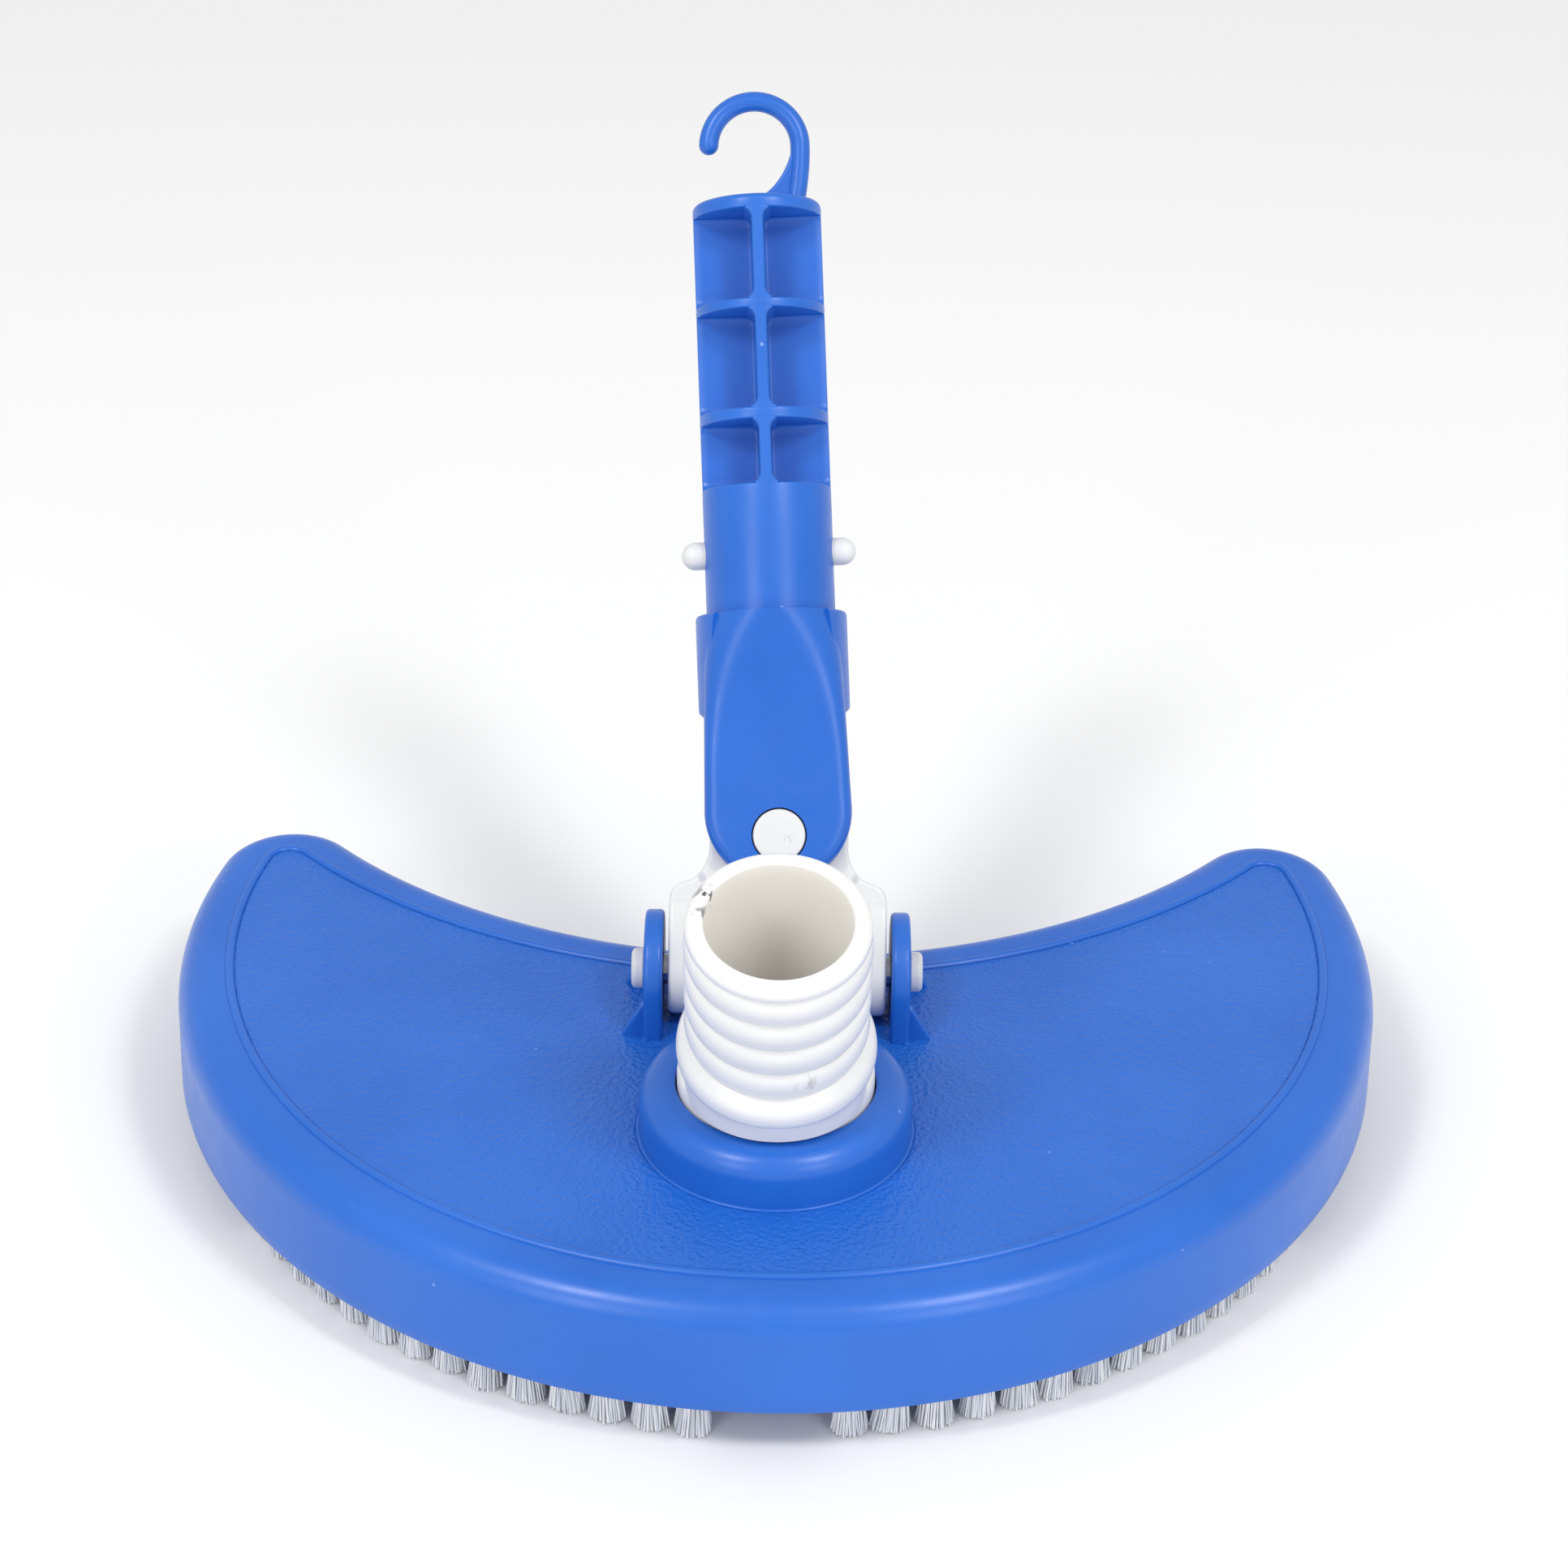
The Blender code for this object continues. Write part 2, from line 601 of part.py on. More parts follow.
def rib_profile():
    """Outline of the ribbed tail about its own axis, from the rim's edge down to the root."""
    top = TAIL_LENGTH
    groove = top - RIM_BAND
    profile = [(0, top), (RIM_RADIUS - 1.2 * MM, top), (RIM_RADIUS - 0.3 * MM, top - 0.5 * MM),
               (RIM_RADIUS, top - 1.4 * MM), (GROOVE_RADIUS, groove)]
    for _ in range(RIB_COUNT):
        profile += [(RIB_RADIUS, groove - 0.42 * RIB_PITCH), (RIB_RADIUS, groove - 0.6 * RIB_PITCH),
                    (GROOVE_RADIUS, groove - RIB_PITCH)]
        groove -= RIB_PITCH
    foot = groove - COLLAR_HEIGHT
    profile += [(COLLAR_RADIUS, groove - 0.45 * COLLAR_HEIGHT),
                (COLLAR_RADIUS, foot + 0.2 * COLLAR_HEIGHT), (COLLAR_RADIUS - 0.6 * MM, foot),
                (TAIL_ROOT_RADIUS, foot), (TAIL_ROOT_RADIUS, TAIL_ROOT_FOOT), (0, TAIL_ROOT_FOOT)]
    return profile


def hose_connector(swivel):
    """White connector: upright barrel in the boss and a ribbed tail that leans forward."""
    flange_top, flange_foot, _ = connector_levels()
    barrel_top = BOSS_HEIGHT + BARREL_TOP
    barrel = turned("hose_connector", [
        (0, barrel_top), (BARREL_RADIUS - 0.8 * MM, barrel_top),
        (BARREL_RADIUS, barrel_top - 0.8 * MM), (BARREL_RADIUS, flange_top),
        (FLANGE_RADIUS, flange_top), (FLANGE_RADIUS, flange_foot), (0, flange_foot)], 40)
    place(as_part(barrel, (WHITE, 0.35)), swivel)
    tilt = (math.radians(TAIL_TILT), 0, 0)
    tail = place(turned("tail", rib_profile(), 36), swivel, (0, TAIL_SETBACK, 0), tilt)
    tail_bore = rod("tail_bore", TAIL_BORE, flange_top, TAIL_LENGTH + OVERLAP, 32)
    place(tail_bore, swivel, (0, TAIL_SETBACK, 0), tilt)
    barrel_bore = rod("barrel_bore", BARREL_BORE, flange_foot - OVERLAP, BOSS_HEIGHT, 40)
    place(barrel_bore, swivel)
    reach = 2 * BOSS_OUTER
    high = BOSS_HEIGHT + LIP_CLEARANCE
    clearance = turned("lip_clearance", [(BARREL_RADIUS, high), (reach, high), (reach, flange_top),
                                         (BARREL_RADIUS, flange_top)], 40)
    join(barrel, tail)
    cut(barrel, place(clearance, swivel), tail_bore, barrel_bore)


def swivel_rings(swivel):
    """Rubber seal over the connector's flange and the clip ring that holds it up."""
    flange_top, flange_foot, ring_foot = connector_levels()
    low = flange_top + GAP
    outer = SOCKET_RADIUS - GAP
    inner = BARREL_RADIUS + GAP
    high = low + SEAL_THICKNESS
    seal = turned("connector_seal", [(inner, high), (outer, high), (outer, low), (inner, low)], 40)
    place(as_part(seal, ((0.03, 0.03, 0.03), 0.7)), swivel)
    high = flange_foot - GAP
    retainer = turned("connector_retainer", [
        (RETAINER_BORE, high), (outer, high), (outer, ring_foot), (RETAINER_BORE, ring_foot)], 40)
    place(as_part(retainer, (WHITE, 0.4)), swivel)


# ---------------------------------------------------------------- hinge and yoke

def hinge_pieces(hinge):
    """Steel axle through ears and yoke, with a white cap pushed into each end."""
    half = EAR_OUTER - GAP
    axle = aimed(rod("pivot_axle", AXLE_RADIUS, -half, half, 24), "X")
    place(as_part(axle, (STEEL, 0.3, 1.0)), hinge)
    for number, sign in enumerate((1, -1)):
        low, high = sorted((sign * (half - CAP_STUB_LENGTH - GAP), sign * (half + OVERLAP)))
        hole = aimed(rod(f"axle_hole_{number}", CAP_STUB_RADIUS + GAP, low, high, 16), "X")
        cut(axle, place(hole, hinge))
    face = EAR_OUTER + GAP
    outer = face + CAP_THICKNESS
    profile = [(0, outer), (CAP_RADIUS - 1.2 * MM, outer), (CAP_RADIUS - 0.4 * MM, outer - 0.4 * MM),
               (CAP_RADIUS, outer - 1.2 * MM), (CAP_RADIUS, face), (CAP_STUB_RADIUS, face),
               (CAP_STUB_RADIUS, face - CAP_STUB_LENGTH), (0, face - CAP_STUB_LENGTH)]
    right = aimed(turned("axle_cap_right", profile, 24), "X")
    left = mirrored(right, "axle_cap_left")
    for cap in (right, left):
        place(as_part(cap, (WHITE, 0.35)), hinge)


def yoke(tilt_axis):
    """White block between the ears, with a thin tongue that goes into the handle's fork."""
    barrel = aimed(rod("yoke", YOKE_BARREL, -YOKE_HALF, YOKE_HALF, 40), "X")
    place(as_part(round_edges(barrel, 0.8 * MM), (WHITE, 0.35)), tilt_axis)
    half = [(YOKE_HALF, 0), (YOKE_HALF, SHOULDER_Z - 3.2 * MM)]
    half += arc((YOKE_HALF - 3.2 * MM, SHOULDER_Z - 3.2 * MM), 3.2 * MM, 0, 70, 4)[1:]
    half += [(TONGUE_RADIUS + 2.4 * MM, SHOULDER_Z + 2.0 * MM),
             (TONGUE_RADIUS + 0.8 * MM, SHOULDER_Z + 4.4 * MM), (TONGUE_RADIUS, NECK_Z)]
    block = slab("yoke_block", [half + [(-x, z) for x, z in reversed(half)]], -SHOULDER_DEPTH,
                 SHOULDER_DEPTH, "XZ")
    tongue = [(TONGUE_RADIUS, NECK_Z - 4 * MM)] + arc((0, PIN_Z), TONGUE_RADIUS, 0, 180, 20)
    tongue += [(-TONGUE_RADIUS, NECK_Z - 4 * MM), (-YOKE_BARREL, 0), (YOKE_BARREL, 0)]
    plate = slab("yoke_tongue", [tongue], -TONGUE_DEPTH, TONGUE_DEPTH, "XZ")
    axle_hole = aimed(rod("yoke_axle_hole", AXLE_RADIUS + AXLE_FIT, -YOKE_HALF - OVERLAP,
                          YOKE_HALF + OVERLAP, 24), "X")
    pin_hole = aimed(rod("yoke_pin_hole", PIN_RADIUS + GAP, -FORK_DEPTH, FORK_DEPTH, 24), "Y")
    moved(pin_hole, (0, 0, PIN_Z))
    reliefs = []
    for number, (low, high) in enumerate(((TONGUE_DEPTH, FORK_DEPTH), (-FORK_DEPTH, -TONGUE_DEPTH))):
        relief = aimed(rod(f"fork_relief_{number}", RELIEF_RADIUS, low, high, 48), "Y")
        reliefs.append(moved(relief, (0, 0, PIN_Z)))
    join(barrel, place(block, tilt_axis))
    cut(barrel, *[place(relief, tilt_axis) for relief in reliefs])
    join(barrel, place(plate, tilt_axis))
    cut(barrel, place(axle_hole, tilt_axis), place(pin_hole, tilt_axis))


# ---------------------------------------------------------------- handle

def fork(swing_axis):
    """The handle's lower end: two cheeks with a slot between them."""
    outline = arc((0, FORK_END_CENTRE), FORK_END_RADIUS, 180, 360, 20)
    outline += [(FORK_TOP_WIDTH, COLLAR_TO - OVERLAP), (-FORK_TOP_WIDTH, COLLAR_TO - OVERLAP)]
    body = slab("fork", [outline], -FORK_DEPTH, FORK_DEPTH, "XZ")
    slot = box("fork_slot", (-0.1, -SLOT_DEPTH, -0.1), (0.1, SLOT_DEPTH, SLOT_TOP))
    return place(body, swing_axis), place(slot, swing_axis)


def pockets(swing_axis):
    """The recesses on both faces of the ribbed grip, which leave a web, a spine and cross ribs."""
    floors = [SHANK_TO] + [high for _, high in RIB_LEVELS]
    ceilings = [low for low, _ in RIB_LEVELS] + [CAP_FROM]
    reach = SHANK_RADIUS + OVERLAP
    found = []
    for low, high in zip(floors, ceilings):
        for x in (1, -1):
            for y in (1, -1):
                name = f"pocket_{len(found)}"
                near = (x * WEB_HALF, y * WEB_HALF, low)
                far = (x * reach, y * reach, high)
                corners = list(zip(*[sorted(pair) for pair in zip(near, far)]))
                found.append(place(box(name, *corners), swing_axis))
    return found


def hook(swing_axis):
    """Round wire hook that rises from the right of the cap, with its thin foot web."""
    low = HOOK_RADIUS - HOOK_LEAN
    path = [(low - 0.3 * MM, CAP_TO - 2 * MM), (low, CAP_TO),
            (HOOK_RADIUS - 0.2 * HOOK_LEAN, CAP_TO + 7 * MM)]
    path += arc((0, HOOK_CENTRE), HOOK_RADIUS, 0, HOOK_OPENING, 16)
    curve = bpy.data.curves.new("hook_wire", "CURVE")
    curve.dimensions = "3D"
    curve.bevel_depth = HOOK_WIRE
    curve.bevel_resolution = 2
    curve.use_fill_caps = True
    spline = curve.splines.new("POLY")
    spline.points.add(len(path) - 1)
    for point, (x, z) in zip(spline.points, path):
        point.co = (x, 0, z, 1)
    wire = welded(bpy.data.objects.new("hook_wire", curve))
    foot = [(-2 * MM, CAP_TO - OVERLAP), (low + HOOK_WIRE / 2, CAP_TO - OVERLAP),
            (HOOK_RADIUS, HOOK_CENTRE),
            (HOOK_RADIUS - HOOK_WIRE / 2, HOOK_CENTRE - 2 * MM), (5.5 * MM, CAP_TO + 5 * MM)]
    web = slab("hook_web", [foot], -HOOK_WEB / 2, HOOK_WEB / 2, "XZ")
    return place(wire, swing_axis), place(web, swing_axis)


def handle(swing_axis):
    """Blue handle: fork, pole collar, round shank, ribbed grip, cap and hook in one moulding."""
    grip = round_edges(rod("handle", SHANK_RADIUS, COLLAR_TO - 2 * OVERLAP, CAP_TO, 40), 1.2 * MM)
    place(as_part(grip, (BLUE, 0.36)), swing_axis)
    collar = place(turned("pole_collar", [
        (0, COLLAR_TO), (GRIP_COLLAR_RADIUS - 0.4 * MM, COLLAR_TO),
        (GRIP_COLLAR_RADIUS, COLLAR_TO - 0.4 * MM), (GRIP_COLLAR_RADIUS, COLLAR_FROM + 1.6 * MM),
        (GRIP_COLLAR_RADIUS - 1.6 * MM, COLLAR_FROM), (0, COLLAR_FROM)], 48), swing_axis)
    body, slot = fork(swing_axis)
    room = rod("spring_room", SPRING_ROOM_RADIUS, *SPRING_ROOM_Z, 24)
    button_bore = aimed(rod("button_bore", BUTTON_RADIUS + GAP, -GRIP_COLLAR_RADIUS,
                            GRIP_COLLAR_RADIUS, 20), "X")
    moved(button_bore, (0, 0, BUTTON_Z))
    front_bore = aimed(rod("front_bore", PIN_HEAD_RADIUS + GAP, 0, FORK_DEPTH + OVERLAP, 32), "Y")
    rear_bore = aimed(rod("rear_bore", PIN_RADIUS + GAP, -FORK_DEPTH - OVERLAP, 0, 24), "Y")
    cap_depth = PIN_CAP_THICKNESS + 2 * GAP
    rear_seat = aimed(rod("rear_seat", PIN_HEAD_RADIUS + GAP, -FORK_DEPTH - OVERLAP,
                          cap_depth - FORK_DEPTH, 32), "Y")
    cut(grip, *pockets(swing_axis))
    join(grip, collar, body, *hook(swing_axis))
    cut(grip, slot)
    for cutter in (room, button_bore, front_bore, rear_bore, rear_seat):
        cut(grip, place(cutter, swing_axis))


def clevis_pieces(swing_axis):
    """Stepped white pin through fork and tongue, flush in front, and its snap cap behind."""
    step = -SLOT_DEPTH - GAP
    back = FORK_DEPTH - GAP
    pin = aimed(turned("clevis_pin", [
        (0, FORK_DEPTH), (PIN_HEAD_RADIUS - 0.3 * MM, FORK_DEPTH),
        (PIN_HEAD_RADIUS, FORK_DEPTH - 0.3 * MM), (PIN_HEAD_RADIUS, -step), (PIN_RADIUS, -step),
        (PIN_RADIUS, -back), (0, -back)], 32), "Y")
    place(as_part(pin, (WHITE, 0.35)), swing_axis)
    low = -back
    high = low + PIN_CAP_THICKNESS
    inner = PIN_RADIUS + GAP
    cap = aimed(turned("clevis_pin_cap", [
        (inner, high), (PIN_HEAD_RADIUS, high), (PIN_HEAD_RADIUS, low), (inner, low)], 32), "Y")
    place(as_part(cap, (WHITE, 0.4)), swing_axis)


def buttons(swing_axis):
    """Two spring buttons that lock into a pole's holes, and the spring between them."""
    outer = SHANK_RADIUS + BUTTON_PROUD
    inner = outer - BUTTON_LENGTH
    profile = [(BUTTON_RADIUS * math.sin(a), outer - BUTTON_RADIUS * (1 - math.cos(a)))
               for a in (math.radians(15 * i) for i in range(7))]
    profile[0] = (0, outer)
    flange = BUTTON_RADIUS + BUTTON_FLANGE
    profile += [(BUTTON_RADIUS, inner + 1.0 * MM), (flange, inner + 1.0 * MM), (flange, inner),
                (0, inner)]
    right = aimed(turned("button_right", profile, 20), "X")
    left = mirrored(right, "button_left")
    for button in (right, left):
        place(as_part(button, (WHITE, 0.35)), swing_axis, (0, 0, BUTTON_Z))
    leg = inner - GAP
    bend_z = SPRING_ROOM_Z[0] + GAP + leg
    top = BUTTON_Z + BUTTON_RADIUS
    inside = leg - SPRING_THICKNESS
    outline = [(leg, top)] + arc((0, bend_z), leg, 0, -180, 12) + [(-leg, top), (-inside, top)]
    outline += arc((0, bend_z), inside, -180, 0, 12) + [(inside, top)]
    spring = slab("button_spring", [outline], -SPRING_WIDTH / 2, SPRING_WIDTH / 2, "XZ")
    place(as_part(spring, (WHITE, 0.4)), swing_axis)


# ---------------------------------------------------------------- assembly

floor_centre = empty("head_axis", (0, SWIVEL_Y, 0))
swivel_axis = empty("swivel_axis", (0, 0, TOP_Z), parent=floor_centre)
hinge_axis = empty("hinge_axis", (0, HINGE_Y, TOP_Z + HINGE_HEIGHT), parent=floor_centre)
yoke_axis = empty("yoke_tilt_axis", (0, 0, 0), (RAISE - math.pi / 2, 0, 0), hinge_axis)
handle_axis = empty("handle_swing_axis", (0, 0, PIN_Z), (0, -math.radians(HANDLE_LEAN), 0),
                    yoke_axis)

shell(swivel_axis, hinge_axis)
base_plate(floor_centre)
screws(floor_centre)
weights(floor_centre)
brushes(floor_centre)
hose_connector(swivel_axis)
swivel_rings(swivel_axis)
hinge_pieces(hinge_axis)
yoke(yoke_axis)
handle(handle_axis)
clevis_pieces(handle_axis)
buttons(handle_axis)
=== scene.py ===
"""Half-moon pool vacuum head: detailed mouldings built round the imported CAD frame.

Shapes are worked out in millimetres in the frame of the part that they belong to,
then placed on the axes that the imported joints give.
"""
import json
import math

import bmesh
import bpy
import numpy as np
from mathutils import Euler, Matrix, Vector


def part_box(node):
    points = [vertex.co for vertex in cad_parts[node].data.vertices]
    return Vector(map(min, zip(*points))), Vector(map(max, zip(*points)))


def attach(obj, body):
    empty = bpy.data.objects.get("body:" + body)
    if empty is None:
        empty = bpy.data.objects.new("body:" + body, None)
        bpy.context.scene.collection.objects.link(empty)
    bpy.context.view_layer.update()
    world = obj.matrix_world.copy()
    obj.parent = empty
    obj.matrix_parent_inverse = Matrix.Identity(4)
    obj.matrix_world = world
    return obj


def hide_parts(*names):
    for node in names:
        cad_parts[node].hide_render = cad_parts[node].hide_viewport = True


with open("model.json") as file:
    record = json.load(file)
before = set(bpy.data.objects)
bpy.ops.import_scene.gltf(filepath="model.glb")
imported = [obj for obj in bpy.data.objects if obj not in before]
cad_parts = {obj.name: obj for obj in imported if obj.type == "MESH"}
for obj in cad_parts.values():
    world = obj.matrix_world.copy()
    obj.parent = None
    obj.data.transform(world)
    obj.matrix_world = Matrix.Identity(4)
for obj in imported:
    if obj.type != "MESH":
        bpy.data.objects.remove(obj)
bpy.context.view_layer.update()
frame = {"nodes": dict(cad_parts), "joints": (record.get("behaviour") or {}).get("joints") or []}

MM = 0.001
JOINTS = {joint["name"]: joint for joint in frame["joints"]}
SWIVEL = np.array(JOINTS["connector_swivel"]["pos_m"]) / MM
HINGE = np.array(JOINTS["yoke_tilt"]["pos_m"]) / MM
CLEVIS = np.array(JOINTS["handle_swing"]["pos_m"]) / MM

# Head, about the swivel axis on the top face
FRONT_RADIUS, FRONT_CENTRE = 126.0, 76.0
REAR_RADIUS, REAR_CENTRE = 155.0, 213.0
TIP_RADIUS = 5.5
SKIRT, WALL, SHELL_HEIGHT = 12.6, 3.0, 25.0
DRAFT, EDGE_ROUND = 0.6, 7.5
BEAD_HALF, BEAD_HEIGHT = 1.0, 0.75
BOSS_OUTER, BOSS_HEIGHT, BOSS_ROUND = 28.95, 12.2, 5.5
LIP_RADIUS, LIP_THICKNESS, SOCKET_RADIUS = 21.2, 4.5, 24.4
DUCT_FOOT = -19.7
POST_RADIUS, POST_TOP = 4.2, -2.0
FRONT_STEPS, HORN_STEPS, REAR_STEPS = 219, 39, 149     # columns along each arc of the outline
HORN_FROM, HORN_TO = 4.0, 16.0                         # degrees round the boss that a horn's columns take

# Hinge ears, about the hinge axis
EAR_RADIUS, EAR_THICKNESS, EAR_SPAN = 13.2, 4.15, 54.5
EAR_FOOT = -12.5
DECK = -10.5
EAR_BORE = 3.7
GUSSET_REACH, GUSSET_HEIGHT, GUSSET_THICKNESS, GUSSET_Y = 4.8, 8.0, 2.2, 10.2
CAP_RADIUS, CAP_THICKNESS, CAP_ROUND, CAP_GAP = 4.45, 2.7, 1.15, 0.3
STUB_RADIUS, STUB_LENGTH = 1.6, 7.0

# Hose connector
TAIL_TILT = math.radians(16.5)
TAIL_LENGTH, TAIL_SETBACK = 66.6, 0.8
RIM_RADIUS, TAIL_BORE = 18.8, 15.0
GROOVES = (62.9, 55.15, 47.4, 39.65, 31.9)
RIB_RADIUS, GROOVE_RADIUS = 19.1, 17.95
COLLAR_RADIUS, COLLAR_FOOT = 20.8, 24.9
STEM_RADIUS, BARREL_RADIUS, BARREL_BORE = 19.2, 20.85, 17.0
BARREL_TOP, OVERHANG_FOOT = 15.5, 13.0
FLANGE_RADIUS, FLANGE_TOP, FLANGE_FOOT = 23.8, 6.3, 3.5
STEM_SLICE, BORE_SLICE, BORE_FOOT = 16.6, 15.4, 22.0
BORE_ROWS, RIM_ROWS = 18, 3                            # rows of the tail's grid that line the bore

# Yoke, about the hinge axis, and handle, about the clevis pin
RAISE, LEAN = math.radians(57.5), math.radians(2.9)
YOKE_BARREL, YOKE_HALF, SHOULDER_Z, SHOULDER_DEPTH, SHOULDER_ROUND = 9.9, 24.02, 19.3, 7.0, 3.5
NECK_Z, PIN_Z, TONGUE_RADIUS, TONGUE_DEPTH, RELIEF_RADIUS = 26.0, 29.8, 15.4, 4.7, 18.9
RELIEF_FADE, YOKE_CENTRE_Z = 2.0, 12.0
FORK_DEPTH, FORK_END_RADIUS, FORK_END_CENTRE, FORK_TOP_WIDTH = 10.6, 16.3, 5.4, 15.0
SLOT_HALF, SLOT_TOP = 5.1, 19.0
RAMP_FROM, RAMP_POWER = 15.0, 1.9
CORNER_WIDE, CORNER_DEEP = 4.0, 3.4
WING_INNER, WING_MIDDLE = 11.5, 13.5
COLLAR_FROM, COLLAR_TO, GRIP_COLLAR = 26.3, 49.6, 16.9
SHANK_RADIUS, SHANK_TO = 14.4, 77.6
RIBS = ((91.7, 94.3), (116.2, 118.4))
CAP_FROM, CAP_TO = 138.4, 141.6
WEB_HALF, WEB_FLARE, WEB_BEND = 1.25, 2.3, 0.9
PIN_HEAD, PIN_SHAFT, PIN_GAP = 5.8, 4.0, 0.3
BUTTON_Z, BUTTON_RADIUS, BUTTON_PROUD, BUTTON_LENGTH = 63.1, 3.1, 5.1, 12.6
BUTTON_FLANGE, BUTTON_FLANGE_THICKNESS = 1.2, 1.0
HOOK_WIRE, HOOK_RADIUS, HOOK_CENTRE, HOOK_OPENING = 2.2, 10.25, 154.8, 176.0
HOOK_LEAN, HOOK_ROOT = 2.0, 1.6

# Brushes, about the swivel axis on the floor
FRONT_BRUSH_RADIUS, REAR_BRUSH_RADIUS = 130.0, 151.0
TUFT_FIRST, TUFT_PITCH, FRONT_TUFTS = 7.0, 4.0, 14
REAR_TUFT_FIRST, REAR_TUFTS = 24.0, 6
STRIP_TOP, STRIP_FOOT, STRIP_HALF, STRIP_OVERHANG = 13.7, 10.7, 3.5, 2.4
TUFT_ROOT, TUFT_TIP = (2.8, 2.4), (4.1, 3.1)
BRISTLES_PER_TUFT = 150
BRISTLE_HALF = (0.21, 0.21, 0.19)      # half thickness at the root, the middle and the tip
BRISTLE_SPLAY = 1.25                   # how late along its length a bristle spreads
SUNFLOWER_TURN = math.radians(137.508)

# Camera and lamps, in metres; each lamp has a twin on the left
CAMERA_PLACE = (-0.001885, -0.601359, 0.450552)
CAMERA_TURN = (59.43626, -0.85248, 0.24339)
CAMERA_LENS, CAMERA_SENSOR = 74.53, 36.0
LAMP_AIM = (0.0, 0.0, 0.05)
LAMPS = {"key": ((0.88, -0.86, 1.84), 11.5, (0.34, 0.46)),
         "fill": ((1.15, -1.70, 1.05), 6.5, (0.7, 0.8))}
WORLD_STRENGTH = 0.70
FLOOR_HALF, FLOOR_DROP = 6.0, 0.0004


# ---------------------------------------------------------------- axes

def turned_axes(about_x=0.0, about_y=0.0):
    """Columns are the axes left after a turn about X and then one about the new Y."""
    c, s = math.cos(about_x), math.sin(about_x)
    x_turn = np.array([[1, 0, 0], [0, c, -s], [0, s, c]])
    c, s = math.cos(about_y), math.sin(about_y)
    return x_turn @ np.array([[c, 0, s], [0, 1, 0], [-s, 0, c]])


UPRIGHT = turned_axes()
TAIL_AXES = turned_axes(TAIL_TILT)
YOKE_AXES = turned_axes(RAISE - math.pi / 2)
HANDLE_AXES = turned_axes(RAISE - math.pi / 2, -LEAN)


# ---------------------------------------------------------------- meshes

def grid_faces(rows, columns, looped):
    """Four corners of each face of a grid whose columns join round, and whose rows do if looped."""
    row, column = np.meshgrid(np.arange(rows if looped else rows - 1), np.arange(columns),
                              indexing="ij")
    after, beside = (row + 1) % rows, (column + 1) % columns
    corners = (row * columns + column, row * columns + beside, after * columns + beside,
               after * columns + column)
    return np.stack(corners, -1).reshape(-1, 4)


def skin(points, faces, mask):
    """A mesh from points in metres, with one number per point kept in the mask attribute."""
    mesh = bpy.data.meshes.new("skin")
    mesh.from_pydata(points.tolist(), [], faces.tolist())
    mesh.attributes.new("mask", "FLOAT", "POINT").data.foreach_set(
        "value", np.ascontiguousarray(mask, np.float32))
    return mesh


def closed_up(mesh, distance):
    """Merges points closer than a distance, which closes poles, and turns the faces outward."""
    work = bmesh.new()
    work.from_mesh(mesh)
    bmesh.ops.remove_doubles(work, verts=work.verts, dist=distance)
    bmesh.ops.recalc_face_normals(work, faces=work.faces)
    work.to_mesh(mesh)
    work.free()


def piece(name, grids, origin, axes, looks, body, nodes, sharp=30.0):
    """Joins closed grids of points into one object, each with its poles merged and faces outward.

    A grid is (points, looped); points has rows, columns, then x, y, z and perhaps the mask.
    """
    whole = bmesh.new()
    for points, looped in grids:
        rows, columns, width = points.shape
        flat = points.reshape(-1, width)
        mask = flat[:, 3] if width > 3 else np.zeros(len(flat))
        placed = (flat[:, :3] @ axes.T + origin) * MM
        mesh = skin(placed, grid_faces(rows, columns, looped), mask)
        closed_up(mesh, 2e-6)
        whole.from_mesh(mesh)
        bpy.data.meshes.remove(mesh)
    mesh = bpy.data.meshes.new(name)
    whole.to_mesh(mesh)
    whole.free()
    return finished(name, mesh, looks, body, nodes, sharp)


def finished(name, mesh, looks, body, nodes, sharp=30.0):
    """Shades a mesh smooth but for its sharp edges, and sets the object on its CAD body."""
    mesh.shade_smooth()
    mesh.set_sharp_from_angle(angle=math.radians(sharp))
    mesh.materials.append(looks)
    thing = bpy.data.objects.new(name, mesh)
    bpy.context.scene.collection.objects.link(thing)
    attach(thing, body)
    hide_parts(*nodes)
    return thing


def bow(x, z, radius, start, end, steps):
    """Points of an arc, in degrees, as rows of two."""
    angle = np.radians(np.linspace(start, end, steps))
    return np.stack([x + radius * np.cos(angle), z + radius * np.sin(angle)], -1)


def revolve(profile, columns=96):
    """Turns a profile of (radius, height) rows about Z: x = r cos a, y = r sin a."""
    angle = np.linspace(0, 2 * math.pi, columns, endpoint=False)
    radius, height = np.asarray(profile, float).T
    return np.stack([radius[:, None] * np.cos(angle), radius[:, None] * np.sin(angle),
                     np.repeat(height[:, None], columns, 1)], -1)


def drum(radius, low, high, low_round, high_round, steps=7):
    """Profile of a solid drum with rounded rims, from the pole below to the pole above."""
    return np.concatenate([
        [(0, low)], bow(radius - low_round, low + low_round, low_round, -90, 0, steps),
        bow(radius - high_round, high - high_round, high_round, 0, 90, steps), [(0, high)]])


def capped(rings, low, high, x=0.0):
    """Closes a stack of rings with one point below it and one above, both at that x."""
    poles = [np.full((1, rings.shape[1], 3), (x, 0.0, height)) for height in (low, high)]
    return np.concatenate([poles[0], rings, poles[1]])


def about_x(points):
    """Lays a shape turned about Z along X, its top to the right."""
    return np.stack([points[..., 2], points[..., 1], -points[..., 0]], -1)


def about_front(points):
    """Lays a shape turned about Z along Y, its top to the front."""
    return np.stack([points[..., 0], -points[..., 2], points[..., 1]], -1)


